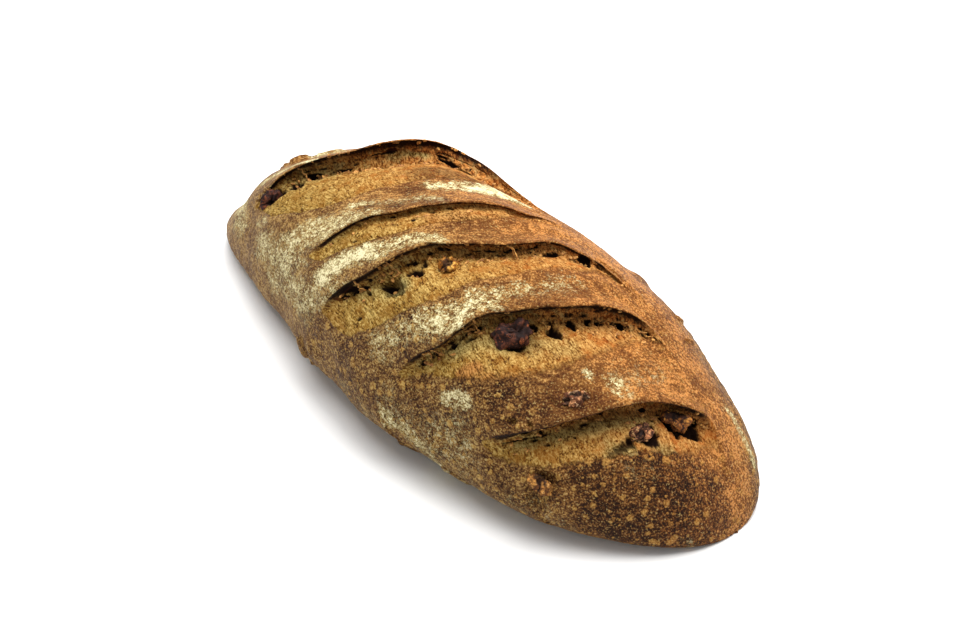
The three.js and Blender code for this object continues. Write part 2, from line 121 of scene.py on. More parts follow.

# Gas holes torn open in each cut: over, back as seen from above, radius across the cut,
# radius along it, depth, strength of the painted shade in it
HOLES = [
    [(3, 0.2, 3.6, 3, 3.6, 0.95), (-1.5, 2.4, 1.4, 3.4, 2.4, 0.8), (-6.5, 1.4, 1.2, 4, 2.2, 0.85),
     (-16, -0.6, 1, 3.2, 1.6, 0.6), (27, 0.9, 1.1, 2.8, 1.8, 0.7),
     (-36, 7.2, 3.2, 3.6, 3.6, 0.95), (-46, 9, 3.4, 3.6, 3.6, 0.95),
     (-24, 6.4, 1.8, 4.4, 2.8, 0.9), (26, 5, 1.6, 3, 2.6, 0.8), (28, 8.8, 3, 3, 3.8, 0.95),
     (30.5, 13.4, 2.8, 2.6, 3.8, 0.95)],
    [(-26.4, 4.5, 1, 1.7, 1.6, 0.9), (-33, -1.3, 0.7, 1.2, 1.2, 0.9),
     (-51, 6.4, 0.6, 1.2, 1, 0.8), (-60, 1.9, 0.6, 1.1, 1, 0.8)],
    [(-54.2, 6.8, 4.6, 5.6, 4.6, 0.5), (-57, 4.4, 1.2, 3, 3, 0.9), (-67, 2, 1.6, 3.4, 2.8, 0.8),
     (-42.4, 6.2, 1.8, 2.4, 3.2, 0.9), (-44, 4.8, 1.4, 2.8, 2.6, 0.85),
     (-69, 0.1, 1.1, 3.2, 2.2, 0.9), (-73, 10.9, 0.7, 1.1, 1, 0.8), (-10, -1, 0.9, 3.6, 2, 0.8),
     (0, -1.3, 0.8, 4, 2, 0.8), (9, 0, 0.9, 3.2, 2, 0.8), (19, 5.4, 1.2, 5.6, 2.4, 0.9),
     (33.7, 2.8, 4.6, 3, 5, 1), (41, 3.4, 2.2, 3.6, 2.6, 0.55), (40, 1, 1.4, 2, 3.4, 1),
     (45, -1.6, 1.6, 3.4, 3.6, 1), (36.5, 8.1, 0.8, 1.4, 1.4, 0.9)],
    [(-8.3, 4.7, 2.4, 3.6, 4.2, 0.9), (2.6, 3.2, 2, 3, 3, 0.9), (12.5, 2.7, 1.5, 2, 2.6, 0.8),
     (16.6, 3.8, 1.3, 1.8, 2.4, 0.7), (26.9, 4.8, 1.8, 2.4, 3.6, 1),
     (21.4, 8.4, 0.9, 1, 1.1, 0.8), (36, 2.6, 0.9, 0.9, 2, 1), (38.6, 3, 0.9, 0.9, 2, 1),
     (41.2, 2.9, 0.8, 0.9, 1.8, 1), (43.4, 2.6, 0.7, 0.8, 1.6, 1), (-63, 2.7, 0.9, 1.4, 1.6, 0.9),
     (-50, 1.1, 1.1, 2.6, 2.2, 0.8), (-43, 2.4, 1.1, 2.4, 2.2, 0.7),
     (-27, 7.4, 2.2, 4.4, 2.4, 0.7), (-16, 2.7, 1.6, 2.4, 2.8, 0.8),
     (-62, 14.3, 0.5, 0.8, 0.9, 0.9)],
    [(-11, 16, 2, 2.6, 1.6, 0.5), (-8, 14.6, 2.2, 2.6, 2, 0.6), (-5, 13, 2.2, 2.6, 2.2, 0.65),
     (-2, 11.4, 2.4, 2.6, 2.6, 0.75), (12.5, 6.6, 2, 1.8, 3, 1), (38, 6.4, 1.2, 3, 2.4, 0.8),
     (14, 8.6, 1.6, 1.7, 3, 0.9), (24, 4.5, 2.2, 3, 3.2, 0.9), (21.5, 2.4, 1.6, 1.6, 2.8, 0.9),
     (25.5, 7.3, 1.4, 2.2, 2.2, 0.8), (40, 2, 1.5, 1.6, 2, 0.8), (-45, 0.5, 0.6, 4.4, 1.2, 0.7),
     (-36, 0.9, 0.6, 4.4, 1.2, 0.6), (15.6, 15.1, 2, 3.6, 1, 0.1),
     (-64.6, -0.6, 0.6, 0.8, 1.4, 1), (-62, -0.4, 0.5, 0.7, 1.2, 1)],
]

SMALL_HOLES = [26, 5, 22, 18, 12]      # and small ones along the bottom of each cut
BEHIND_LIP = -0.3                      # holes behind this place show in torn crumb only

# Flakes and crags of crust: cut, over, back, radius across the cut, radius along it, height
FLAKES = [
    (0, -25, -26.4, 2.6, 8.5, 1.9),
    (0, -12, -26, 3.0, 8.0, 1.0),
    (4, -22, -5.2, 1.3, 2.6, 1.3),
    (4, -8, -5.0, 1.1, 2.4, 1.1),
    (2, -99, -9.5, 2.2, 3.0, 1.8),
    (3, -90.5, 0, 2.4, 3.4, 1.7),
    (4, -78, -7, 1.8, 3.0, 1.3),
    (2, 72, -6, 1.6, 4.0, 1.1),
    (2, 67, 12, 1.4, 3.4, 1.0),
]

# Walnut pieces: place, size and turn as in the solid, how deep the gap round each is and how
# strong its painted shade, the seed of its shape, how far it rises, and its look
WALNUTS = [
    dict(name="walnut_far_cut", gap=0.8, seed=1, cut=0, over=-57, back=3.4, rise=0.5,
         size=(8, 11, 8), turn=0.4, look="dark"),
    dict(name="walnut_third_cut", gap=0, seed=2, cut=2, over=-27, back=5.9, rise=0.6,
         size=(7, 8, 7), turn=0.9, look="golden"),
    dict(name="walnut_fourth_cut", gap=0.4, seed=3, cut=3, over=-24, back=4.9, rise=-0.7,
         size=(10, 17, 9), turn=0.1, look="dark"),
    dict(name="walnut_on_crust", gap=0.3, seed=4, cut=4, over=-15, back=-4.3, rise=1.3,
         size=(7, 13, 7), turn=0.2, look="pale"),
    dict(name="walnut_fifth_cut", gap=0.8, seed=5, cut=4, over=9, back=9.6, rise=0.4,
         size=(7, 9, 7), turn=0.7, look="pink"),
    dict(name="walnut_under_lip", gap=0.9, seed=6, cut=4, over=32, back=3.3, rise=0.8,
         size=(7, 14, 7), turn=-0.2, look="orange"),
    dict(name="walnut_near_flank", gap=1.0, seed=7, cut=4, over=-41.6, back=15.6, rise=0.3,
         size=(6, 12, 8), turn=-0.5, look="tan"),
]

# Patches, as bars between two places: each place across the cuts and over the loaf, then
# the bar's half width and its strength
FLOUR = [
    (-17, -70, -9, -46, 8, 0.4), (-8, -62, -8, -34, 4.2, 0.3), (-18, -38, -16, -34, 3, 0.5),
    (-20, 0, -22, 14, 3.6, 0.45), (-23, 14, -30, 27, 4.4, 0.9), (-30, 27, -30, 31, 3.5, 0.5),
    (-60, -56, -60, -22, 2, 0.5), (-14, -30, -11, -8, 3.5, 0.2),
    (9.5, -72, 10.5, -50, 3.8, 0.75), (16, -73, 18, -67, 4, 0.35), (11, -48, 13.5, -24, 3.4, 0.4),
    (9, -45, 10, -28, 1.8, 0.4),
    (40, -70, 42, -52, 6, 0.3), (42, -52, 42, -25, 5.4, 0.4), (46, -42, 42, -30, 3.2, 0.6),
    (42, -27, 38, -7, 4, 0.36), (40, -8, 36, 18, 4, 0.2),
    (68, -61, 71, -55, 3, 0.45), (73, 3, 73, 7, 3.5, 0.35), (72, 12, 67, 32, 3.5, 0.15),
    (69, -5, 69, -4, 2, 0.4),
    (-60, -74, -73, -64, 5, 0.4), (-35, -77, -14, -78, 8, 0.4), (-18, -85, 10, -82, 8, 0.35),
    (-19, -69, -6, -73, 6, 0.3), (-45, -69, -44, -69, 4, 0.35), (53, -82, 66, -80, 6, 0.15),
    (36, -96, 47, -92, 5, 0.12), (69, -84, 78, -62, 7, 0.2), (86, -68, 104, -42, 6, 0.14),
    (50, -86, 72, -80, 2.6, 0.36),
    (-72, -50, -70, -29, 3, 0.6), (-82, -18, -79, 2, 3, 0.4),
    (114, -16, 114.3, 10, 0.3, 0.15), (112.3, 18, 110.6, 32, 0.3, 0.15),
    (53, 68, 60, 76, 4, 0.45), (100.8, -6, 100.8, 6, 3.4, 0.1),
]
TOAST = [
    (69, -47, 70.5, -26, 5, 0.7), (72, -43, 75, -13, 4.5, 0.8), (106, -24, 102, 42, 9, 0.6),
    (112, -24, 108, 44, 6, 0.75), (75, -38, 76, -4, 3.5, 1.2), (29, -87, 56, -77, 9, 0.1),
    (57, 50, 57, 59, 5, 0.3), (-21.7, -19, -17, -2, 4, 0.6), (-12, -34, -9, -6, 3, 0.9),
    (14, -82, 30, -80, 6, 0.2), (8, -21, 5, 8, 2.5, 0.4), (43, -12, 39, 27, 4, 0.35),
    (63, -51, 63, -45, 2.6, 0.9), (2, -20, 1, 16, 4, 0.6),
]
OLIVE = [
    (-52, 2, -49, 18, 4.6, 1), (1, -22, 1, 14, 3.5, 0.2), (91, -11, 96, -12, 3, 0.6),
    (26, -58, 26, -50, 3.6, 1), (53, -50, 57, -34, 3.5, 0.7), (58, -22, 60, -4, 3.5, 0.4),
    (94, -9, 95, -1, 3, 0.8), (94, 13, 94, 18, 3, 0.7), (81, -45, 83, -14, 2.5, 0.6),
    (83, -10, 84, 14, 3, 0.6), (-49, -50, -50, -30, 3, 0.5), (23, -68, 24, -60, 3, 0.5),
]

# Soft edges of the crust's tones, from where each begins to where it is full. They run over the
# crust from the near side to the back. FAR_TIP_BACK runs across the loaf, and BACK_FLANK_ENDS,
# SPOTTED_PLACE, SPOTTED_END and SPOTTED_SUNLIT run across the cuts.
FAR_TIP_BACK = (4, 18)
# The next two bound the sunlit tone, painted light that turns each colour pair from its shaded colour to
# its sunlit one.
SUNLIT_TONE_IN = (-55, 15)
SUNLIT_TONE_OUT = (58, 92)
SUNLIT_IN = (18, 60)
SUNLIT_OUT = (62, 92)
BACK_FLANK = (45, 70)
BACK_FLANK_ENDS = (30, 70)
SPOTTED_PLACE = (-20, 50)
SPOTTED_FLANK = (15, 65)
SPOTTED_END = (82, 98)
SPOTTED_SUNLIT = (80, 98)

# Mesh fineness
COLUMNS = 262
TOP_COLUMNS = 0.9
OVERHANG = 0.14 * math.pi
FAR_RINGS = 18
NEAR_RINGS = 26
RING_STEP = 1.5
LIP_STEP = 0.55
SECTION_LENGTH = 112
SECTION_HEIGHT = 52

# Camera, as worked out from the outline in the photograph
AZIMUTH = math.radians(47.4)
ELEVATION = math.radians(40)
DISTANCE = 900 * MM
TARGET = Vector((10.72, 0.32, 35)) * MM
PIXELS_PER_MM = 2.4
FRAME_WIDTH = 960
SENSOR = 36
SIGHT = np.array([-math.sin(AZIMUTH) * math.cos(ELEVATION),
                  math.cos(AZIMUTH) * math.cos(ELEVATION), -math.sin(ELEVATION)])


def smoothstep(x, low, high):
    t = np.clip((x - low) / (high - low), 0, 1)
    return t * t * (3 - 2 * t)


def lattice(cell, seed):
    """A fixed random number from -1 to 1 for each whole-numbered cell."""
    n = cell[..., 0] * 374761393 + cell[..., 1] * 668265263 + cell[..., 2] * 1440662683
    n = (n + seed * 974634777) & 0xFFFFFFFF
    n = ((n ^ (n >> 13)) * 1274126177) & 0xFFFFFFFF
    n = ((n ^ (n >> 16)) * 2246822519) & 0xFFFFFFFF
    return ((n ^ (n >> 15)) & 0xFFFF) / 32767.5 - 1


def noise(points, size, seed=0):
    """Smooth noise from -1 to 1 whose cells measure size."""
    scaled = points / size
    cell = np.floor(scaled).astype(np.int64)
    part = scaled - cell
    part = part * part * (3 - 2 * part)
    total = 0
    for corner in range(8):
        step = np.array([corner & 1, corner >> 1 & 1, corner >> 2])
        share = np.prod(np.where(step, part, 1 - part), axis=-1)
        total = total + share * lattice(cell + step, seed)
    return total


def cloudy(points, size, octaves, seed=0):
    """Noise with ever finer and weaker octaves."""
    total = sum(0.5 ** i * noise(points, size / 2 ** i, seed + i) for i in range(octaves))
    return total / (2 - 0.5 ** (octaves - 1))


def ridged(points, size, seed=0):
    """Sharp winding ridges, from 0 to 1."""
    return (1 - np.abs(noise(points, size, seed))) ** 2


# The loaf's smooth form

def section_at(x):
    """Middle, half width, share on the far side, height and belly of a cross section."""
    def pick(key):
        return np.where(x > 0, NEAR_END[key], FAR_END[key])

    t = x / (LENGTH / 2)
    reach = np.minimum(np.abs(t), LAST_SHARE)
    fullness = (1 - reach ** pick("taper")) ** (1 / pick("root"))
    height = HEIGHT * fullness ** pick("top")
    tip = np.clip((-t - FAR_TIP["begins"]) / (1 - FAR_TIP["begins"]), 0, 1)
    middle = BEND * (t * t - 0.5) + SWAY * (t ** 3 - 0.6 * t) - FAR_TIP["swing"] * tip ** 2
    right_share = 1 + FAR_TIP["fullness"] * tip * (1 - tip ** 4)
    return middle, WIDTH / 2 * fullness, right_share, height, BELLY * height


def level_at(p):
    """Below 1 inside the loaf and above 1 outside."""
    middle, half_width, right_share, height, belly = section_at(p[..., 0])
    over_end = np.maximum(0, np.abs(p[..., 0]) - LENGTH / 2 * LAST_SHARE)
    side = np.where(p[..., 1] > middle, half_width * right_share, half_width)
    sideways = np.abs(p[..., 1] - middle) / side
    above = p[..., 2] - belly
    upwards = np.where(above > 0, above / (height - belly), -above / (UNDERCURVE * belly))
    return (sideways ** ROUNDNESS + upwards ** ROUNDNESS) ** (1 / ROUNDNESS) + over_end


def outward(p):
    """Unit vectors that point out of the smooth loaf."""
    step = 0.4 * np.eye(3)
    normal = np.stack([level_at(p + s) - level_at(p - s) for s in step], axis=-1)
    return normal / np.linalg.norm(normal, axis=-1, keepdims=True)


def plan_point(across, along, z):
    """Point given across the cuts, along them and upwards."""
    up = np.array([0.0, 0.0, 1.0])
    across, along, z = np.broadcast_arrays(across, along, z)
    return across[..., None] * ACROSS + along[..., None] * ALONG + z[..., None] * up


def bisect(passes, fails, steps, test):
    """Halves the step between values that pass a test and values that fail it."""
    for _ in range(steps):
        half = (passes + fails) / 2
        inside = test(half)
        passes = np.where(inside, half, passes)
        fails = np.where(inside, fails, half)
    return passes


def chord_at(across):
    """First and last place along each slanted line that meets the loaf, or nan."""
    def inside(along):
        p = plan_point(across_of(along), along, 0.0)
        p[..., 2] = section_at(p[..., 0])[4]
        return (np.abs(p[..., 0]) < LENGTH / 2) & (level_at(p) < 1)

    def across_of(along):
        return across[:, None] if along.ndim == 2 else across

    walk = np.arange(-LENGTH / 2, LENGTH / 2 + 1)
    met = inside(np.broadcast_to(walk, (len(across), len(walk))))
    first = walk[met.argmax(axis=1)]
    last = walk[len(walk) - 1 - met[:, ::-1].argmax(axis=1)]
    start = bisect(first, first - 1, 24, inside)
    end = bisect(last, last + 1, 24, inside)
    missed = ~met.any(axis=1)
    return np.where(missed, np.nan, start), np.where(missed, np.nan, end)


def reach_across(sign):
    """Last place at one end where a slanted line still meets the loaf."""
    def meets(place):
        return not np.isnan(chord_at(np.array([place]))[0][0])

    return bisect(0.0, sign * LENGTH / 2, 30, meets)


def drift_of(cut, along):
    """How far a cut drifts from its straight line, with its bulges."""
    before = along < cut["low"]
    reach = np.where(before, cut["to_start"][0], cut["to_end"][0])
    drift = np.where(before, cut["to_start"][1], cut["to_end"][1])
    share = np.minimum(2, np.abs(along - cut["low"]) / reach)
    bulging = sum(push * np.exp(-((along - at) / width) ** 2) for at, push, width in cut["bulges"])
    return drift * np.sin(math.pi / 2 * share) ** 2 + bulging


def drift_at(across, along):
    """How far a slanted line has drifted, blended between the cuts on either side."""
    drifts = [drift_of(cut, along) for cut in CUTS]
    lips = [STRAIGHT_BEYOND[0], *(cut["lip"] for cut in CUTS), STRAIGHT_BEYOND[1]]
    drifts = [0 * along, *drifts, 0 * along]
    total = 0
    for i in range(len(lips) - 1):
        share = (across - lips[i]) / (lips[i + 1] - lips[i])
        here = (share >= 0) & (share < 1)
        total = total + here * (drifts[i] * (1 - share) + drifts[i + 1] * share)
    return total


def skin_at(place, angle):
    """Points of the smooth loaf on slanted sections, in directions round their middles."""
    start, end = chord_at(np.ravel(place))
    shape = np.shape(place)
    start, end = start.reshape(shape), end.reshape(shape)
    middle, half_chord = (start + end) / 2, (end - start) / 2
    level = section_at(plan_point(place, middle, 0.0)[..., 0])[4]

    def at(reach):
        along = middle - reach * half_chord * np.cos(angle)
        z = level + reach * HEIGHT / 2 * np.sin(angle)
        return plan_point(place + drift_at(place, along), along, z)

    def inside(reach):
        p = at(reach)
        return (p[..., 2] > 0) & (level_at(p) < 1)

    zero = np.zeros(np.broadcast_shapes(shape, np.shape(angle)))
    return at(bisect(zero, zero + 2.2, 36, inside))


def over_crust(p):
    """Distance over the crust from the ridge, negative on the near side."""
    across = p @ ACROSS
    ridge = RIDGE[0] * across + RIDGE[1]
    sideways = p @ ALONG - ridge
    top = section_at(plan_point(across, ridge, 0.0)[..., 0])[3]
    return np.sign(sideways) * np.hypot(sideways, np.maximum(0, top - p[..., 2]))


def share_along(cut, over):
    """-1 at a cut's start, 0 in its middle, 1 at its end."""
    return (over - (cut["start"] + cut["end"]) / 2) / ((cut["end"] - cut["start"]) / 2)


def place_on_cut(cut, over, back):
    """Skin point, outward direction and turn of the skin at a place named by a cut."""
    angle = np.radians(np.arange(0, 180.1, 0.5))
    tried = skin_at(np.full(len(angle), CUTS[cut]["lip"] + back, dtype=float), angle)
    skin = tried[np.abs(over_crust(tried) - over).argmin()]
    normal = outward(skin)
    along = ALONG - normal * (normal @ ALONG)
    along /= np.linalg.norm(along)
    return skin, np.stack([np.cross(along, normal), along, normal])


# Rings: the loaf's grid follows the profile of every cut

def cut_profile(cut, band):
    """Rows of shut place, shift as it opens, relief, tearing, and shares of crumb, lip, wall, depth."""
    ear, depth, undercut, bloom = (cut[k] for k in ("ear", "depth", "undercut", "bloom"))
    rows = []
    for v in np.linspace(0, 1, 14):
        shut = -0.92 * band + v * (0.92 * band - 1.9)
        rows.append((shut, 1.1 * v ** 1.5, ear * v ** 1.55, 0.3 * v, 0, 0, 0, 0))
    rows += [
        (-1.3, 1.3, ear + 0.05, 0.3, 0, 0, 0, 0),
        (-0.7, 1.15, ear - 0.1, 0.3, 0, 0.12, 0, 0),
        (-0.3, 0.7, ear - 0.65, 0.3, 0.1, 1, 0.2, 0),
        (0.2, -0.6, ear - 1.15, 0.4, 0.5, 1, 0.6, 0),
        (0.9, -0.9 - undercut * 0.45, ear * 0.55, 0.7, 1, 1, 1, 0.1),
        (2.0, -2.0 - undercut * 0.75, ear * 0.2, 1, 1, 0.95, 1, 0.3),
        (3.3, -3.3 - undercut, -depth * 0.6, 1, 1, 0.22, 0.8, 0.8),
        (FLOOR_BEGINS, -FLOOR_BEGINS - undercut * 0.25, -depth, 1, 1, 0, 0.3, 1),
    ]
    for share in np.linspace(0, 1, 16)[1:]:
        shut = FLOOR_BEGINS + share * (bloom - FLOOR_BEGINS)
        relief = FLOOR_CREST * math.sin(math.pi * share) * share
        relief -= depth * (1 - share) ** FLOOR_CURVE
        shift = (-FLOOR_BEGINS - undercut * 0.25) * (1 - share)
        rows.append((shut, shift, relief, 1 - share ** 2, 1, 0, 0, (1 - share) ** 6))
    return np.array(rows)


def spread_rings(rows):
    """Resamples a profile evenly, finer over the lip, and rounds its corners."""
    moved = np.diff(rows, axis=0)
    length = np.hypot(moved[:, 0] + moved[:, 1], moved[:, 2]) + 0.3 * moved[:, 0]
    arc = np.concatenate([[0], np.cumsum(length)])
    fine = np.arange(0, arc[-1], 0.1)
    dense = np.stack([np.interp(fine, arc, column) for column in rows.T], axis=1)
    wide = np.pad(dense, ((2, 2), (0, 0)), mode="edge")
    dense = sum(wide[i:i + len(dense)] for i in range(5)) / 5
    near_lip = smoothstep(dense[:, 0], -5, -3) * (1 - smoothstep(dense[:, 0], 5, 8))
    density = np.cumsum(0.1 / (RING_STEP + (LIP_STEP - RING_STEP) * near_lip))
    wanted = np.arange(0, density[-1])
    return np.stack([np.interp(wanted, density, column) for column in dense.T], axis=1)


def list_rings():
    """All rings: place, cut number or -1, then the profile columns."""
    far, near = reach_across(-1), reach_across(1)
    parts = []
    for i, cut in enumerate(CUTS):
        band = FIRST_BAND if i == 0 else cut["lip"] - CUTS[i - 1]["lip"] - CUTS[i - 1]["bloom"]
        rows = spread_rings(cut_profile(cut, band))
        head = np.stack([cut["lip"] + rows[:, 0], np.full(len(rows), i)], axis=1)
        parts.append(np.hstack([head, rows[:, 1:]]))
    first, last = parts[0][0, 0], parts[-1][-1, 0]
    for reach, inner, count in ((far, first, FAR_RINGS), (near, last, NEAR_RINGS)):
        share = 1 - np.cos(np.linspace(0, math.pi / 2, count + 1)[1:-1])
        end = np.zeros((count - 1, parts[0].shape[1]))
        end[:, 0] = reach + (inner - reach) * share
        end[:, 1] = -1
        parts.append(end)
    rings = np.vstack(parts)
    return rings[np.argsort(rings[:, 0])]


def column_angles():
    """Angles round a section, spaced so that the columns lie evenly over the crust."""
    t = np.linspace(-OVERHANG, math.pi + OVERHANG, 2000)
    pace = np.hypot(SECTION_LENGTH * np.sin(t), SECTION_HEIGHT * np.cos(t))
    run = np.cumsum(pace)
    run = (run - run[0]) / (run[-1] - run[0])
    top = round(COLUMNS * TOP_COLUMNS)
    over = np.interp(np.arange(top) / top, run, t)
    under = math.pi + OVERHANG + (math.pi - 2 * OVERHANG) * np.arange(COLUMNS - top) / (COLUMNS - top)
    return np.concatenate([over, under])


def grid_normals(p):
    """Outward normals of a grid of rings whose columns close on themselves."""
    round_ring = np.roll(p, -1, axis=1) - np.roll(p, 1, axis=1)
    from_ring = np.gradient(p, axis=0)
    normal = np.cross(round_ring, from_ring)
    normal /= np.linalg.norm(normal, axis=-1, keepdims=True) + 1e-9
    top = normal[:, COLUMNS // 3]
    return normal if top[:, 2].mean() > 0 else -normal


def small_holes():
    """Small gas holes along the bottom of each cut: the cut, then the values of HOLES."""
    random.seed(17)
    holes = []
    for i, cut in enumerate(CUTS):
        for _ in range(SMALL_HOLES[i]):
            over = random.uniform(cut["start"] + 8, cut["end"] - 4)
            back = random.uniform(-2, 5.5)
            wide, long = random.uniform(0.5, 1.1), random.uniform(0.8, 2.2)
            holes.append((i, over, back, wide, long, random.uniform(1, 2.4), 0.75))
    return holes


class Loaf:
    """The loaf's grid in working millimetres, with what the material needs at each point."""

    def __init__(self):
        rings = list_rings()
        self.place = rings[:, :1]
        self.cut = rings[:, 1].astype(int)
        columns = rings[:, 2:].T[:, :, None]
        self.shift, self.relief, self.torn, self.crumb, self.lip, self.wall, self.deep = columns
        self.angle = column_angles()[None]
        self.skin = skin_at(self.place, self.angle)
        self.over = over_crust(self.skin)
        self.open_crust()
        normal = grid_normals(self.p)
        self.sink_holes(normal)
        self.roughen(normal)
        self.zone_colours()

    def openness(self):
        """0 at a cut's ends and on uncut crust, 1 in its middle, and how steep each side is."""
        opened = np.zeros(self.over.shape)
        side = np.zeros(self.over.shape)
        for i, cut in enumerate(CUTS):
            rows = self.cut == i
            share = share_along(cut, self.over[rows])
            opened[rows] = np.clip(1 - np.abs(share) ** 3, 0, 1)
            side[rows] = 1 + cut["skew"] * share
        return opened * smoothstep(np.sin(self.angle), 0.02, 0.3), side

    def swollen(self):
        """Height of the broad swells of the body and of the lumps baked onto the crust."""
        lift = sum(h * np.sin(self.skin @ np.array(turns) + phase) for h, turns, phase in SWELLS)
        lift = lift * smoothstep(self.skin[..., 2], *SWELL_LEVELS)
        for cut, over, back, radius, height in LUMPS:
            centre = place_on_cut(cut, over, back)[0]
            away = np.linalg.norm(self.skin - centre, axis=-1)
            lift = lift + height * np.exp(-(away / radius) ** 2)
        return lift

    def ragged_profile(self):
        """Shift and relief of the cuts, with lips that waver along their edge."""
        self.open, side = self.openness()
        wavy = np.stack([self.over, self.place * 0.15 + 0 * self.over, 0 * self.over], -1)
        ragged = self.lip * self.open
        shift = self.shift + ragged * (0.55 * noise(wavy, 6, 11) + 0.3 * noise(wavy, 1.7, 12))
        relief = self.relief * side
        relief = relief + ragged * (0.4 * noise(wavy, 5, 13) + 0.25 * noise(wavy, 1.5, 14))
        return shift * self.open, relief

    def open_crust(self):
        """Opens the cuts. Also notes which place on the smooth crust each point seems to have."""
        shift, relief = self.ragged_profile()
        height = self.swollen() + relief * self.open
        normal = outward(self.skin)
        slope = np.minimum(-0.15, normal @ SIGHT)
        hidden = (normal @ ACROSS) - (SIGHT @ ACROSS) / slope
        self.back = self.place + shift
        self.seen = self.back + height * np.clip(hidden, -3, 3)
        self.p = self.skin + height[..., None] * normal + shift[..., None] * ACROSS
        self.shade_cuts(relief)

    def shade_cuts(self, relief):
        """Fades the shares of crumb, wall and the foot's painted crevice shade out towards the cuts' ends,
        and paints shadow on the furthest wall.
        """
        shade = np.append(SHADE, 0)[self.cut][:, None]
        self.crumb = self.crumb * smoothstep(self.open, 0.02, 0.15) * self.bare()
        self.deep = self.deep * smoothstep(self.open, 0.05, 0.5) * shade
        self.wall = self.wall * smoothstep(self.open, 0.05, 0.5) * shade
        self.tear = self.torn * self.open
        # Painted shadow along the top of the furthest cut's wall, drawn with the lip's painted shade.
        far_wall = (self.cut == 0)[:, None] & (self.crumb > 0.3)
        shadow = smoothstep(relief, -3.0, -0.5) * smoothstep(self.over, -22, 4) * far_wall
        self.lip = np.maximum(self.lip, 0.7 * shadow)

    def bare(self):
        """1 where the crumb is bare, fading out behind each cut."""
        shown = np.zeros(self.over.shape)
        for i, widths in enumerate(BARE):
            rows = self.cut == i
            width = np.interp(self.over[rows], *np.array(widths).T)
            back = self.seen[rows] - CUTS[i]["lip"]
            soft = SOFTNESS[i]
            shown[rows] = 1 - smoothstep(back, width - soft, width + 0.4 * soft)
        return shown

    def sink_holes(self, normal):
        """Torn gas holes, flakes of crust, and the hollows round the walnuts."""
        ragged = 0.3 * noise(self.p, 2.2, 31) + 0.16 * noise(self.p, 0.9, 32)
        self.hole = np.zeros(self.over.shape)
        torn = smoothstep(self.crumb, 0.1, 0.5)
        holes = [(cut, *hole) for cut, listed in enumerate(HOLES) for hole in listed]
        for cut, over, back, wide, long, depth, dark in holes + small_holes():
            where = torn if back > BEHIND_LIP else 1
            self.sink(normal, self.seen, (cut, over, back), (wide, long, depth), dark, ragged, where)
        for cut, over, back, wide, long, height in FLAKES:
            self.sink(normal, self.seen, (cut, over, back), (wide, long, -height), 0, ragged, 1)
        for nut in WALNUTS:
            wide, long, tall = nut["size"]
            spot = nut["cut"], nut["over"], nut["back"]
            size = wide * 0.7, long * 0.62, tall * 0.35 * nut["gap"]
            self.sink(normal, self.back, spot, size, nut["gap"], 0.6 * ragged, 1)

    def sink(self, normal, places, spot, size, dark, ragged, where):
        """Presses a hollow in, or raises a flake of negative depth, and notes how much painted shade the
        hollow gets.
        """
        cut, over, back = spot
        wide, long, depth = size
        beside = places - CUTS[cut]["lip"] - back
        away = np.hypot(beside / wide, (self.over - over) / long) + ragged
        here = (1 - smoothstep(away, 0.55, 1.05)) * where
        push = here * depth * (1 - 0.6 * self.wall) * (1 - self.lip)
        self.p = self.p - push[..., None] * normal
        shown = (1 - smoothstep(away, 0.75, 1.1)) * where * dark * (1 - self.lip * (1 - self.crumb))
        self.hole = np.maximum(self.hole, shown)

    def roughen(self, normal):
        """Torn fibres in the crumb and low relief on the crust, down to a flat base."""
        fibre = np.stack([self.back * 0.28, self.over, self.p[..., 2] * 0.5], -1)
        torn = 0.4 * cloudy(self.p, 2.4, 2, 21) + 0.4 * (ridged(fibre, 2.0, 22) - 0.5)
        craggy = 1.1 * noise(self.p, 4.5, 23) + 0.9 * (ridged(self.p, 2.4, 24) - 0.5)
        torn = torn + self.deep * craggy
        flank = smoothstep(np.abs(self.over), 58, 82)
        crust = (0.22 + 0.35 * flank) * cloudy(self.p, 7, 3, 25)
        crust = crust + (0.1 + 0.16 * flank) * noise(self.p, 1.8, 26)
        amount = (self.tear * torn + (1 - self.tear) * crust) * smoothstep(self.p[..., 2], 0.3, 3)
        self.p = self.p + amount[..., None] * normal
        self.p[..., 2] = np.where(self.p[..., 2] < 0.05, 0.0, self.p[..., 2])

    def zone_colours(self):
        """Where flour, toasted and olive patches, spots and the sunlit tone lie."""
        behind = smoothstep(self.p[..., 1], *FAR_TIP_BACK) * (self.over < 0)
        side = self.over * (1 - 2 * behind)
        sunlit = smoothstep(side, *SUNLIT_IN) * (1 - smoothstep(side, *SUNLIT_OUT))
        back_flank = smoothstep(side, *BACK_FLANK) * (1 - smoothstep(self.place, *BACK_FLANK_ENDS))
        self.flour = self.patches(FLOUR) * (1 - self.crumb)
        # Real toasted patches, with less toast on the sunlit side as painted light and more on the back
        # flank.
        self.toast_and_painted_light = self.patches(TOAST) - 0.3 * sunlit + 0.3 * back_flank
        self.olive = self.patches(OLIVE)
        # Painted light: the share of each colour pair's sunlit colour.
        self.sunlit_tone = np.clip((side - SUNLIT_TONE_IN[0]) / (SUNLIT_TONE_IN[1] - SUNLIT_TONE_IN[0]), 0, 1)
        self.sunlit_tone = self.sunlit_tone * (1 - smoothstep(side, *SUNLIT_TONE_OUT))
        plain = 0.7 * sunlit * (1 - 0.85 * smoothstep(self.place, *SPOTTED_SUNLIT))
        flank = smoothstep(self.place, *SPOTTED_PLACE) * smoothstep(np.abs(self.over), *SPOTTED_FLANK)
        self.speckled = np.maximum(flank, smoothstep(self.place, *SPOTTED_END)) * (1 - plain)
        self.lip = self.lip * smoothstep(self.open, 0.0, 0.5)

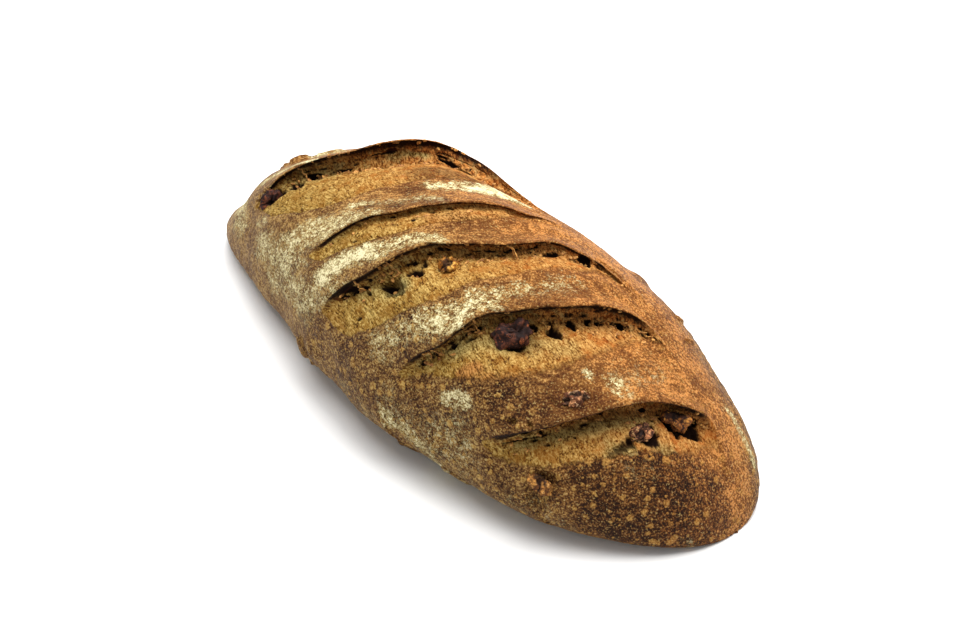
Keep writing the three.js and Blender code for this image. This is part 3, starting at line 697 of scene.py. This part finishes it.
    def patches(self, bars):
        """Soft-edged bars drawn over the crust as it is seen from above."""
        here = np.stack([self.seen, self.over], -1)
        wobble = 0.5 * cloudy(np.concatenate([here, 0 * here[..., :1]], -1), 7, 4, 41)
        total = np.zeros(self.over.shape)
        for place, over, next_place, next_over, wide, strength in bars:
            start = np.array([place, over])
            run = np.array([next_place, next_over]) - start
            share = np.clip((here - start) @ run / (run @ run), 0, 1)
            away = np.linalg.norm(here - start - share[..., None] * run, axis=-1) / wide
            total = np.maximum(total, strength * (1 - smoothstep(away + wobble, 0.1, 1.6)))
        return total

    def surface(self, cut, back, over, under=False):
        """A point of the finished surface, on the floor of a cut or under its lip."""
        reach = self.back - CUTS[cut]["lip"]
        place = self.place - CUTS[cut]["lip"]
        band = (place > 0.6) & (place < 2.6) if under else place > 3.6
        mine = (self.cut == cut)[:, None] & band & (self.p[..., 2] > 5)
        miss = np.hypot(reach - back, self.over - over) + np.where(mine, 0, 1e6)
        return self.p.reshape(-1, 3)[miss.argmin()]


def add_mesh(name, points, faces):
    """A new object whose mesh is given in working millimetres."""
    mesh = bpy.data.meshes.new(name)
    mesh.from_pydata(((points - ORIGIN) * MM).tolist(), [], faces)
    mesh.polygons.foreach_set("use_smooth", [True] * len(mesh.polygons))
    piece = bpy.data.objects.new(name, mesh)
    bpy.context.scene.collection.objects.link(piece)
    return piece


def add_number(piece, name, values):
    """Gives every point of a mesh a number that its material reads."""
    attribute = piece.data.attributes.new(name, "FLOAT", "POINT")
    attribute.data.foreach_set("value", np.ravel(values).astype(np.float32))


def grid_faces(rows, columns):
    """Quads of a closed grid, with a fan of triangles to a pole at each end."""
    faces = []
    for i in range(rows - 1):
        for j in range(columns):
            k = (j + 1) % columns
            here, below = i * columns, (i + 1) * columns
            faces.append((here + j, below + j, below + k, here + k))
    first, last = rows * columns, rows * columns + 1
    for j in range(columns):
        k = (j + 1) % columns
        faces.append((first, j, k))
        faces.append((last, (rows - 1) * columns + k, (rows - 1) * columns + j))
    return faces


# Numbers of the loaf's grid that the bread's material reads
CARRIED = ["crumb", "deep", "wall", "hole", "flour", "toast_and_painted_light", "olive", "speckled", "sunlit_tone", "lip"]


def make_loaf(loaf):
    """The bread: the loaf's grid, closed by a pole at each end."""
    rows, columns = loaf.over.shape
    ends = [loaf.p[0].mean(axis=0), loaf.p[-1].mean(axis=0)]
    points = np.vstack([loaf.p.reshape(-1, 3), ends])
    piece = add_mesh("bread", points, grid_faces(rows, columns))
    spare = [0, 0]
    for name in CARRIED:
        values = np.broadcast_to(getattr(loaf, name), loaf.over.shape)
        add_number(piece, name, np.concatenate([values.ravel(), spare]))
    woven = piece.data.attributes.new("weave", "FLOAT_VECTOR", "POINT")
    weave = np.stack([loaf.back, loaf.over, loaf.p[..., 2]], axis=-1).reshape(-1, 3)
    weave = np.vstack([weave, weave[:2]]) * MM
    woven.data.foreach_set("vector", weave.astype(np.float32).ravel())
    return piece


class Nodes:
    """Short words for building one material."""

    def __init__(self, name):
        self.material = bpy.data.materials.new(name)
        self.material.use_nodes = True
        self.tree = self.material.node_tree
        self.shader = self.tree.nodes["Principled BSDF"]
        self.coordinates = self.new("ShaderNodeTexCoord").outputs["Object"]

    def new(self, kind, **settings):
        node = self.tree.nodes.new(kind)
        for key, value in settings.items():
            setattr(node, key, value)
        return node

    def put(self, socket, value):
        """Links another socket or sets a plain value."""
        if isinstance(value, bpy.types.NodeSocket):
            self.tree.links.new(value, socket)
        elif isinstance(value, tuple) and len(value) == 3 and socket.type == "RGBA":
            socket.default_value = (*value, 1)
        else:
            socket.default_value = value

    def number(self, name):
        """A number that every point of the mesh carries."""
        return self.new("ShaderNodeAttribute", attribute_name=name).outputs["Fac"]

    def woven(self, x, y, z):
        """Coordinates that run behind the lip, over the crust and upwards, stretched."""
        carried = self.new("ShaderNodeAttribute", attribute_name="weave").outputs["Vector"]
        node = self.new("ShaderNodeVectorMath", operation="MULTIPLY")
        self.put(node.inputs[0], carried)
        node.inputs[1].default_value = (x, y, z)
        return node.outputs["Vector"]

    def noise(self, size_mm, detail=3, rough=0.55, vector=None, distortion=0):
        node = self.new("ShaderNodeTexNoise")
        self.put(node.inputs["Vector"], vector or self.coordinates)
        self.put(node.inputs["Scale"], 1 / (size_mm * MM))
        self.put(node.inputs["Detail"], detail)
        self.put(node.inputs["Roughness"], rough)
        self.put(node.inputs["Distortion"], distortion)
        return node.outputs["Fac"]

    def math(self, operation, a, b=0.0, c=0.0, clamp=False):
        node = self.new("ShaderNodeMath", operation=operation, use_clamp=clamp)
        for socket, value in zip(node.inputs, (a, b, c)):
            self.put(socket, value)
        return node.outputs[0]

    def plus(self, a, b):
        return self.math("ADD", a, b)

    def minus(self, a, b):
        return self.math("SUBTRACT", a, b)

    def times(self, a, b, added=0.0):
        return self.math("MULTIPLY_ADD", a, b, added)

    def larger(self, a, b):
        return self.math("MAXIMUM", a, b)

    def between(self, value, low, high, out_low=0.0, out_high=1.0):
        """value taken from low..high to a smooth 0..1, or to another span."""
        node = self.new("ShaderNodeMapRange", interpolation_type="SMOOTHSTEP")
        for socket, number in zip(node.inputs, (value, low, high, out_low, out_high)):
            self.put(socket, number)
        return node.outputs[0]

    def mix(self, share, a, b):
        node = self.new("ShaderNodeMix", data_type="RGBA")
        self.put(node.inputs["Factor"], share)
        self.put(node.inputs["A"], a)
        self.put(node.inputs["B"], b)
        return node.outputs["Result"]

    def grade(self, value, low, high, a, b, most=1.0):
        """From colour a at low towards colour b at high, of which it takes at most a share."""
        return self.mix(self.between(value, low, high, 0.0, most), a, b)

    def bump(self, height_mm, strength=1.0):
        node = self.new("ShaderNodeBump")
        node.inputs["Distance"].default_value = MM
        node.inputs["Strength"].default_value = strength
        self.put(node.inputs["Height"], height_mm)
        return node.outputs["Normal"]

    def finish(self, colour, roughness, normal, sheen=0.5):
        self.put(self.shader.inputs["Base Color"], colour)
        self.put(self.shader.inputs["Roughness"], roughness)
        self.put(self.shader.inputs["Normal"], normal)
        self.put(self.shader.inputs["Specular IOR Level"], sheen)
        return self.material


def rgb(red, green, blue):
    """Colour given as 8-bit screen values."""
    return tuple((c / 255) ** 2.2 for c in (red, green, blue))


# Colours of the bread. A pair holds that of the shaded side and that of the sunlit side.
CRUST_DARK = rgb(56, 33, 18), rgb(92, 52, 26)
CRUST_MEDIUM = rgb(114, 80, 44), rgb(122, 76, 38)
CRUST_LIGHT = rgb(178, 142, 84), rgb(200, 134, 72)
CRUST_BURNT = rgb(36, 21, 13)
BLISTER = rgb(194, 156, 86), rgb(190, 134, 68)
BLISTER_GRAIN = rgb(128, 86, 42)
# Painted shade round the rim of each blister
BLISTER_RIM_SHADE = rgb(104, 62, 28)
CRUMB_LOW = rgb(64, 38, 12), rgb(88, 42, 14)
CRUMB_MIDDLE = rgb(144, 110, 52), rgb(162, 110, 56)
CRUMB_PALE = rgb(196, 166, 98), rgb(204, 152, 88)
CRUMB_BROWNED = rgb(126, 86, 32), rgb(166, 88, 34)
CRUMB_SOFT = rgb(182, 156, 90), rgb(218, 166, 100)
CRUMB_PIT = rgb(84, 46, 18)
WALL_LOW = rgb(92, 52, 22)
WALL_PALE = rgb(172, 134, 72), rgb(206, 132, 66)
# Painted shade in the crevices at the walls' feet
CAVE_SHADE = rgb(34, 18, 8)
# Painted shade in holes and in the hollows round the walnuts
HOLE_SHADE = rgb(28, 16, 8)
# Painted shadow under the lips, with some char
LIP_SHADE_AND_CHAR = rgb(62, 34, 20)
LIP_SHADOW_AND_CHAR = rgb(24, 12, 8)

# Colours that shade from the low points of a pattern to its high points
FLOUR_THIN_THICK = rgb(172, 154, 100), rgb(246, 236, 190)
FLOURED_CRUST = rgb(82, 54, 32), rgb(154, 120, 72)
CRUMB_TOASTED = rgb(76, 40, 14), rgb(174, 116, 62)
CRUMB_OLIVE = rgb(92, 78, 38), rgb(184, 168, 108)
WEBS = rgb(110, 92, 50), rgb(186, 168, 112)
THREAD = rgb(120, 68, 26), rgb(214, 156, 80)

# Round spots: millimetres a cell, radius from least to most in cells, share of the cells
SMALL_BLISTERS = dict(size_mm=1.9, least=0.16, most=0.4, share=0.45)
LARGE_BLISTERS = dict(size_mm=4.4, least=0.2, most=0.46, share=0.85)
PITS = dict(size_mm=2.2, least=0.05, most=0.24, share=0.35)


def spots(n, size_mm, least, most, share):
    """Round spots of uneven size: how deep a point lies inside one, in cells, or below 0."""
    cell = n.new("ShaderNodeTexVoronoi")
    n.put(cell.inputs["Vector"], n.coordinates)
    n.put(cell.inputs["Scale"], 1 / (size_mm * MM))
    drawn = n.new("ShaderNodeSeparateColor")
    n.put(drawn.inputs[0], cell.outputs["Color"])
    radius = n.times(drawn.outputs[0], most - least, least)
    missing = n.math("GREATER_THAN", drawn.outputs[1], share)
    return n.minus(n.minus(radius, cell.outputs["Distance"]), missing)


def brown_crust(n, sunlit_tone, grain, speckled):
    """Brown crust: a dark network, golden mottling and toasted patches."""
    mottled = n.times(n.noise(3.4, 5, 0.7), 0.3)
    mottled = n.times(n.noise(1.3, 4, 0.7, n.woven(1, 0.3, 0.6)), 0.7, mottled)
    grainy = n.times(n.between(grain, 0.36, 0.64, -0.4, 0.4), n.between(speckled, 0, 1, 1, 1.3))
    slow = n.between(n.noise(12, 5, 0.65), 0.38, 0.62, 0.2, -0.2)
    # The toast number holds real toasting and the painted light that makes the sunlit side paler.
    toast_and_painted_light = n.times(speckled, 0.28, n.times(n.number("toast_and_painted_light"), 0.6, slow))
    tone = n.minus(n.plus(n.between(mottled, 0.35, 0.65, 0.08, 0.92), grainy), toast_and_painted_light)
    dark = n.mix(n.math("SUBTRACT", sunlit_tone, speckled, clamp=True), *CRUST_DARK)
    brown = n.grade(tone, -0.45, 0.5, dark, n.mix(sunlit_tone, *CRUST_MEDIUM))
    brown = n.grade(tone, 0.4, 1.1, brown, n.mix(sunlit_tone, *CRUST_LIGHT))
    return n.grade(tone, -0.35, -1.0, brown, CRUST_BURNT)


def crust_colour(n, sunlit_tone):
    """Brown crust with round paler blisters, and the domes of those blisters."""
    grain = n.noise(0.8, 2, 0.6)
    speckled = n.number("speckled")
    brown = brown_crust(n, sunlit_tone, grain, speckled)
    inside = n.larger(spots(n, **SMALL_BLISTERS), spots(n, **LARGE_BLISTERS))
    inside = n.plus(inside, n.between(n.noise(1.6, 2, 0.6), 0.3, 0.7, -0.06, 0.04))
    golden = n.grade(grain, 0.34, 0.66, BLISTER_GRAIN, n.mix(sunlit_tone, *BLISTER))
    # Painted shade round the rim of each blister.
    golden = n.grade(inside, 0.12, 0.02, golden, BLISTER_RIM_SHADE, most=0.6)
    many = n.between(speckled, 0.0, 0.8, 0.15, 1.0)
    blister = n.times(n.between(inside, -0.01, 0.06, 0, 0.92), many)
    return n.mix(blister, brown, golden), n.times(n.between(inside, -0.04, 0.22), many)


def floured(n, colour):
    """Dusted flour: a thick film in patches and stray pale specks elsewhere, partly flour and partly
    painted glints, and that film with the specks.
    """
    amount = n.number("flour")
    crackle = n.times(n.noise(1.4, 5, 0.8, n.woven(1, 0.5, 1)), 0.5)
    crackle = n.times(n.noise(0.75, 3, 0.7), 0.5, crackle)
    thick = n.plus(n.times(amount, 0.18, crackle),
                   n.between(n.noise(4.2, 5, 0.75), 0.36, 0.64, -0.05, 0.05))
    flour_film_and_glints = n.times(n.between(thick, 0.515, 0.6, 0, 0.9), n.between(amount, 0.0, 0.3))
    # Stray pale specks: partly flour, partly painted glints.
    stray_flour_and_glints = n.between(n.noise(0.8, 2, 0.7), 0.6, 0.68, 0, 0.7)
    flour_film_and_glints = n.larger(flour_film_and_glints, n.times(stray_flour_and_glints, n.between(n.number("crumb"), 0.5, 0.1)))
    drab = n.grade(crackle, 0.45, 0.55, *FLOURED_CRUST)
    colour = n.grade(amount, 0.2, 0.6, colour, drab, most=0.55)
    return n.mix(flour_film_and_glints, colour, n.grade(thick, 0.55, 0.7, *FLOUR_THIN_THICK)), flour_film_and_glints


def wall_colour(n, sunlit_tone, tone):
    """Browned wall under a lip, with pale webs of crumb."""
    wall = n.grade(tone, 0.45, 0.55, WALL_LOW, n.mix(sunlit_tone, *WALL_PALE))
    webs = n.grade(tone, 0.45, 0.55, *WEBS)
    return n.grade(n.noise(4.6, 4, 0.7), 0.5, 0.58, wall, webs, most=0.7)


def crumb_colour(n, sunlit_tone):
    """Torn golden crumb with toasted and olive patches, walls and holes, and its pattern."""
    tone = n.times(n.noise(0.95, 3, 0.65, n.woven(0.42, 1, 0.5), distortion=0.9), 0.46)
    tone = n.times(n.noise(0.85, 3, 0.6), 0.34, tone)
    tone = n.times(n.noise(3.2, 4, 0.7), 0.2, tone)
    gold = n.grade(tone, 0.42, 0.5, n.mix(sunlit_tone, *CRUMB_LOW), n.mix(sunlit_tone, *CRUMB_MIDDLE))
    gold = n.grade(tone, 0.5, 0.6, gold, n.mix(sunlit_tone, *CRUMB_PALE))
    slow = n.noise(6, 5, 0.65)
    gold = n.grade(slow, 0.48, 0.66, gold, n.mix(sunlit_tone, *CRUMB_BROWNED), most=0.6)
    gold = n.grade(slow, 0.48, 0.34, gold, n.mix(sunlit_tone, *CRUMB_SOFT), most=0.35)
    toasted = n.grade(tone, 0.44, 0.56, *CRUMB_TOASTED)
    gold = n.grade(n.number("toast_and_painted_light"), 0.0, 0.8, gold, toasted, most=0.8)
    gold = n.grade(spots(n, **PITS), 0.0, 0.06, gold, CRUMB_PIT, most=0.7)
    gold = n.mix(n.times(n.number("wall"), 0.8), gold, wall_colour(n, sunlit_tone, tone))
    olive = n.grade(tone, 0.44, 0.56, *CRUMB_OLIVE)
    gold = n.mix(n.times(n.number("olive"), 0.75), gold, olive)
    # Painted shade in the crevices at the foot of each wall.
    crevice_shade = n.times(n.number("deep"), 0.38, n.noise(4.2, 4, 0.65))
    gold = n.grade(crevice_shade, 0.86, 0.98, gold, CAVE_SHADE)
    # Painted shade in the holes and walnut hollows.
    return n.grade(n.number("hole"), 0.15, 0.8, gold, HOLE_SHADE), tone


def frayed(n, name, pattern, amount):
    """A carried number whose edges a pattern makes uneven."""
    return n.times(n.minus(pattern, 0.5), amount, n.number(name))


def bread_material():
    """Crust, flour and crumb over the whole bread, with painted shadow and some char along the lips."""
    n = Nodes("baked_bread")
    # Painted light: the sunlit tone blends each colour pair from its shaded to its sunlit colour.
    sunlit_tone = n.number("sunlit_tone")
    crust, dome = crust_colour(n, sunlit_tone)
    crust, flour_film_and_glints = floured(n, crust)
    torn, pattern = crumb_colour(n, sunlit_tone)
    crumb = n.between(frayed(n, "crumb", n.noise(2.4, 5, 0.8), 1.2), 0.38, 0.72)
    # Painted shadow under each lip, partly char: a mid-dark band, then a near-black line.
    lip_shade_and_char = frayed(n, "lip", n.noise(1.8, 4, 0.7), 0.8)
    colour = n.grade(lip_shade_and_char, 0.35, 0.75, n.mix(crumb, crust, torn), LIP_SHADE_AND_CHAR, most=0.55)
    colour = n.grade(lip_shade_and_char, 0.66, 0.95, colour, LIP_SHADOW_AND_CHAR, most=0.95)
    rough_crumb = n.times(pattern, 1.5, n.times(n.noise(0.6, 3, 0.7), 0.3))
    rough_crust = n.times(dome, 0.7, n.times(n.noise(0.9, 5, 0.75), 0.9))
    rough_crust = n.times(flour_film_and_glints, 0.12, rough_crust)
    height = n.new("ShaderNodeMix", data_type="FLOAT")
    n.put(height.inputs["Factor"], crumb)
    n.put(height.inputs["A"], rough_crust)
    n.put(height.inputs["B"], rough_crumb)
    roughness = n.between(n.plus(crumb, flour_film_and_glints), 0.0, 1.0, 0.5, 0.85)
    return n.finish(colour, roughness, n.bump(height.outputs["Result"], strength=0.9), sheen=0.08)


# Colours of the walnuts: skin, flesh and broken face
WALNUT_LOOKS = {
    "dark": (rgb(42, 26, 25), rgb(104, 60, 44), rgb(156, 86, 50)),
    "golden": (rgb(150, 92, 30), rgb(240, 180, 84), rgb(200, 110, 40)),
    "tan": (rgb(104, 62, 28), rgb(190, 132, 66), rgb(216, 160, 92)),
    "pink": (rgb(64, 34, 20), rgb(196, 130, 88), rgb(236, 180, 120)),
    "pale": (rgb(104, 62, 40), rgb(208, 144, 96), rgb(240, 196, 146)),
    "orange": (rgb(54, 28, 14), rgb(156, 96, 46), rgb(216, 146, 68)),
}
WALNUT_GRAIN = rgb(38, 20, 14)
WALNUT_FURROW = rgb(26, 13, 9)
BROKEN_FACES = 9


def walnut_material(look):
    """Skin with pale flesh, broken faces and dark furrows."""
    n = Nodes("walnut_" + look)
    skin, flesh, broken = WALNUT_LOOKS[look]
    patchy = n.noise(3.0, 4, 0.6)
    fine = n.noise(0.9, 3, 0.7)
    colour = n.grade(patchy, 0.46, 0.6, skin, flesh)
    colour = n.grade(n.noise(2.4, 4, 0.7), 0.56, 0.64, colour, broken, most=0.85)
    colour = n.mix(n.between(fine, 0.38, 0.6, 0.75, 0), colour, WALNUT_GRAIN)
    colour = n.grade(n.number("furrow"), 0.2, 0.9, colour, WALNUT_FURROW, most=0.85)
    height = n.times(patchy, 0.5, n.times(fine, 0.25))
    return n.finish(colour, n.between(fine, 0.3, 0.7, 0.6, 0.85), n.bump(height), sheen=0.2)


def sphere_points(steps):
    """Points and faces of an even sphere of radius 1."""
    body = bmesh.new()
    bmesh.ops.create_icosphere(body, subdivisions=steps, radius=1)
    points = np.array([v.co[:] for v in body.verts])
    faces = [tuple(v.index for v in f.verts) for f in body.faces]
    body.free()
    return points, faces


def walnut_points(nut, unit):
    """A broken walnut quarter: lobes, furrows between them and a wrinkled skin."""
    seed = nut["seed"]
    turn = np.arctan2(unit[:, 2], unit[:, 0]) + 0.6 * unit[:, 1] + seed
    lobes = 0.9 + 0.12 * np.cos(3 * turn) + 0.08 * np.sin(4.2 * unit[:, 1] + 2 * seed)
    size = np.array(nut["size"]) / 2
    p = unit * lobes[:, None] * size
    chance = np.random.default_rng(100 + seed)
    for _ in range(BROKEN_FACES):
        facing = chance.normal(size=3)
        facing /= np.linalg.norm(facing)
        beyond = p @ facing - chance.uniform(0.68, 0.9) * np.linalg.norm(size * facing)
        p = p - np.maximum(0, beyond)[:, None] * facing
    furrow = ridged(p, 3.2, 70 + seed) ** 3
    wrinkled = 1.9 * noise(p, 3.8, 60 + seed) + 1.3 * cloudy(p, 1.8, 3, 65 + seed) - 1.9 * furrow
    p = p + unit * ((wrinkled * 0.85 + 0.55) * size.min() / 3.9)[:, None]
    c, s = math.cos(nut["turn"]), math.sin(nut["turn"])
    return p @ np.array([[c, s, 0], [-s, c, 0], [0, 0, 1]]), smoothstep(wrinkled, 0.3, -1.5)


def make_walnut(nut, unit, faces):
    """One piece, set on the crust or on the floor of its cut."""
    cut = CUTS[nut["cut"]]
    skin, axes = place_on_cut(nut["cut"], nut["over"], nut["back"])
    floor = 0
    if 0 < nut["back"] < cut["bloom"]:
        share = share_along(cut, nut["over"])
        depth = cut["depth"] * (1 - abs(share) ** 3) * (1 + cut["skew"] * share)
        floor = -depth * (1 - nut["back"] / cut["bloom"]) ** FLOOR_CURVE
    centre = skin + axes[2] * (floor + nut["rise"])
    points, furrow = walnut_points(nut, unit)
    kernel = add_mesh(nut["name"] + "_kernel", points @ axes + centre, faces)
    add_number(kernel, "furrow", furrow)
    return kernel


# Threads of crumb torn between the lip and the floor: cut, from and to over the crust, how
# many, furthest back on the floor
THREADS = [
    (0, -50, 30, 4, 3),
    (2, -66, -30, 7, 4),
    (2, -20, 38, 2, 3),
    (3, -58, 40, 4, 4),
    (3, -36, -12, 8, 8),
    (4, -20, 40, 3, 4),
]
SHREDS = [90, 8, 80, 66, 40]           # torn shreds in each cut
THREAD_SIDES = 5
THREAD_STEPS = 9
LONGEST_THREAD = 8


def tube(path, radius):
    """Points and faces of a thin tube along a path, with the given radius at each point and a cap at each
    end.
    """
    points, faces = [], []
    for i, here in enumerate(path):
        ahead = path[min(i + 1, len(path) - 1)] - path[max(i - 1, 0)]
        ahead = ahead / (np.linalg.norm(ahead) + 1e-9)
        side = np.cross(ahead, [0.3, 0.2, 0.9])
        side /= np.linalg.norm(side) + 1e-9
        top = np.cross(side, ahead)
        for j in range(THREAD_SIDES):
            turn = 2 * math.pi * j / THREAD_SIDES
            points.append(here + radius[i] * (math.cos(turn) * side + math.sin(turn) * top))
    for i in range(len(path) - 1):
        for j in range(THREAD_SIDES):
            k = (j + 1) % THREAD_SIDES
            a, b = i * THREAD_SIDES, (i + 1) * THREAD_SIDES
            faces.append((a + j, a + k, b + k, b + j))
    faces.append(tuple(range(THREAD_SIDES))[::-1])
    faces.append(tuple(len(points) - THREAD_SIDES + j for j in range(THREAD_SIDES)))
    return points, faces


def make_threads(loaf):
    """Thin bowed threads, where the lip is near enough to the floor."""
    random.seed(21)
    points, faces = [], []
    for cut, low, high, count, reach in THREADS:
        for _ in range(count):
            over = random.uniform(low, high)
            start = loaf.surface(cut, 0, over, under=True)
            end = loaf.surface(cut, random.uniform(-1, reach), over + random.gauss(0, 3.5))
            if np.linalg.norm(end - start) > LONGEST_THREAD:
                continue
            bow = np.array([random.gauss(0, 0.8), random.gauss(0, 0.8), random.uniform(-1.2, 1.0)])
            steps = np.linspace(0, 1, THREAD_STEPS)
            path = [start + (end - start) * s + bow * math.sin(math.pi * s) for s in steps]
            path = [q + 0.3 * np.array([random.gauss(0, 1) for _ in range(3)]) for q in path]
            thick = random.uniform(0.2, 0.42)
            radius = [thick * (0.45 + 1.6 * abs(s - 0.5) + 0.3 * random.random()) for s in steps]
            more, quads = tube(path, radius)
            faces += [tuple(i + len(points) for i in quad) for quad in quads]
            points += more
    return add_mesh("crumb_threads", np.array(points), faces)


def make_shreds(loaf):
    """Small torn rags of crumb on the wall and the floor of each cut."""
    random.seed(33)
    unit, triangles = sphere_points(2)
    points, faces = [], []
    for cut, count in enumerate(SHREDS):
        start, end = CUTS[cut]["start"] + 10, CUTS[cut]["end"] - 3
        for i in range(count):
            over = random.uniform(start, end)
            centre = loaf.surface(cut, random.uniform(-3, 5), over, under=random.random() < 0.15)
            size = np.array([random.uniform(0.5, 1.7), random.uniform(0.4, 1.1), random.uniform(0.25, 0.5)])
            ragged = unit * (1 + 0.5 * noise(unit * 1.3 + 9 * i, 0.8, cut))[:, None]
            turn = Matrix.Rotation(random.uniform(0, math.pi), 3, "Z")
            turn = Matrix.Rotation(random.gauss(0, 0.7), 3, "X") @ turn
            faces += [tuple(k + len(points) * len(unit) for k in face) for face in triangles]
            points.append(ragged * size @ np.array(turn) + centre)
    return add_mesh("crumb_shreds", np.vstack(points), faces)


def thread_material():
    n = Nodes("torn_threads")
    grain = n.noise(0.9, 3, 0.7)
    colour = n.grade(grain, 0.35, 0.65, *THREAD)
    return n.finish(colour, n.between(grain, 0.3, 0.7, 0.65, 0.8), n.bump(n.times(grain, 0.2)))


# Room

# Large soft lights: name, bearing from the camera and height in degrees, colour
LIGHTS = [("key", -56, 66, (1.0, 0.98, 0.95)), ("overhead", 25, 79, (1, 1, 1))]
LIGHT_SIZE = 1.2
LIGHT_WATTS = 19
LIGHT_DISTANCE = 1.3
SKY_STRENGTH = 0.47
FLOOR_REACH = 4
FLOOR_GAP = 0.0002


def direction(azimuth, elevation):
    """Unit vector from the object towards something at that bearing from the camera's own."""
    a = AZIMUTH + azimuth
    away = Vector((-math.sin(a), math.cos(a), 0))
    return away * math.cos(elevation) + Vector((0, 0, math.sin(elevation)))


def add_camera():
    data = bpy.data.cameras.new("camera")
    data.sensor_width = SENSOR
    data.lens = PIXELS_PER_MM * (DISTANCE / MM) * SENSOR / FRAME_WIDTH
    data.clip_end = 20
    camera = bpy.data.objects.new("camera", data)
    bpy.context.scene.collection.objects.link(camera)
    towards = direction(math.pi, ELEVATION)
    camera.location = TARGET + towards * DISTANCE
    camera.rotation_euler = (-towards).to_track_quat("-Z", "Y").to_euler()
    bpy.context.scene.camera = camera


def add_light(name, azimuth, elevation, colour):
    data = bpy.data.lights.new(name, "AREA")
    data.size = LIGHT_SIZE
    data.energy = LIGHT_WATTS
    data.color = colour
    light = bpy.data.objects.new(name, data)
    bpy.context.scene.collection.objects.link(light)
    towards = direction(math.radians(azimuth), math.radians(elevation))
    light.location = towards * LIGHT_DISTANCE
    light.rotation_euler = towards.to_track_quat("Z", "Y").to_euler()


def add_floor():
    corners = np.array([[-1, -1, 0], [1, -1, 0], [1, 1, 0], [-1, 1, 0]])
    floor = add_mesh("floor", corners * FLOOR_REACH / MM, [(0, 1, 2, 3)])
    n = Nodes("pale_floor")
    colour = n.mix(n.noise(120, 2), (0.86, 0.86, 0.86), (0.9, 0.9, 0.9))
    floor.data.materials.append(n.finish(colour, 0.9, n.bump(0.0)))
    floor.location.z = -FLOOR_GAP


def add_room():
    add_floor()
    for light in LIGHTS:
        add_light(*light)
    world = bpy.data.worlds.new("studio")
    world.use_nodes = True
    sky = world.node_tree.nodes["Background"].inputs
    sky["Color"].default_value = (1, 1, 1, 1)
    sky["Strength"].default_value = SKY_STRENGTH
    bpy.context.scene.world = world
    bpy.context.scene.view_settings.view_transform = "Standard"


def dress():
    loaf = Loaf()
    bread = make_loaf(loaf)
    bread.data.materials.append(bread_material())
    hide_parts("loaf")
    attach(bread, "root")
    unit, faces = sphere_points(5)
    looks = {look: walnut_material(look) for look in WALNUT_LOOKS}
    for nut in WALNUTS:
        kernel = make_walnut(nut, unit, faces)
        kernel.data.materials.append(looks[nut["look"]])
        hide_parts(nut["name"])
        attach(kernel, "root")
    torn = thread_material()
    for piece in (make_threads(loaf), make_shreds(loaf)):
        piece.data.materials.append(torn)
        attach(piece, "root")


dress()
add_camera()
add_room()
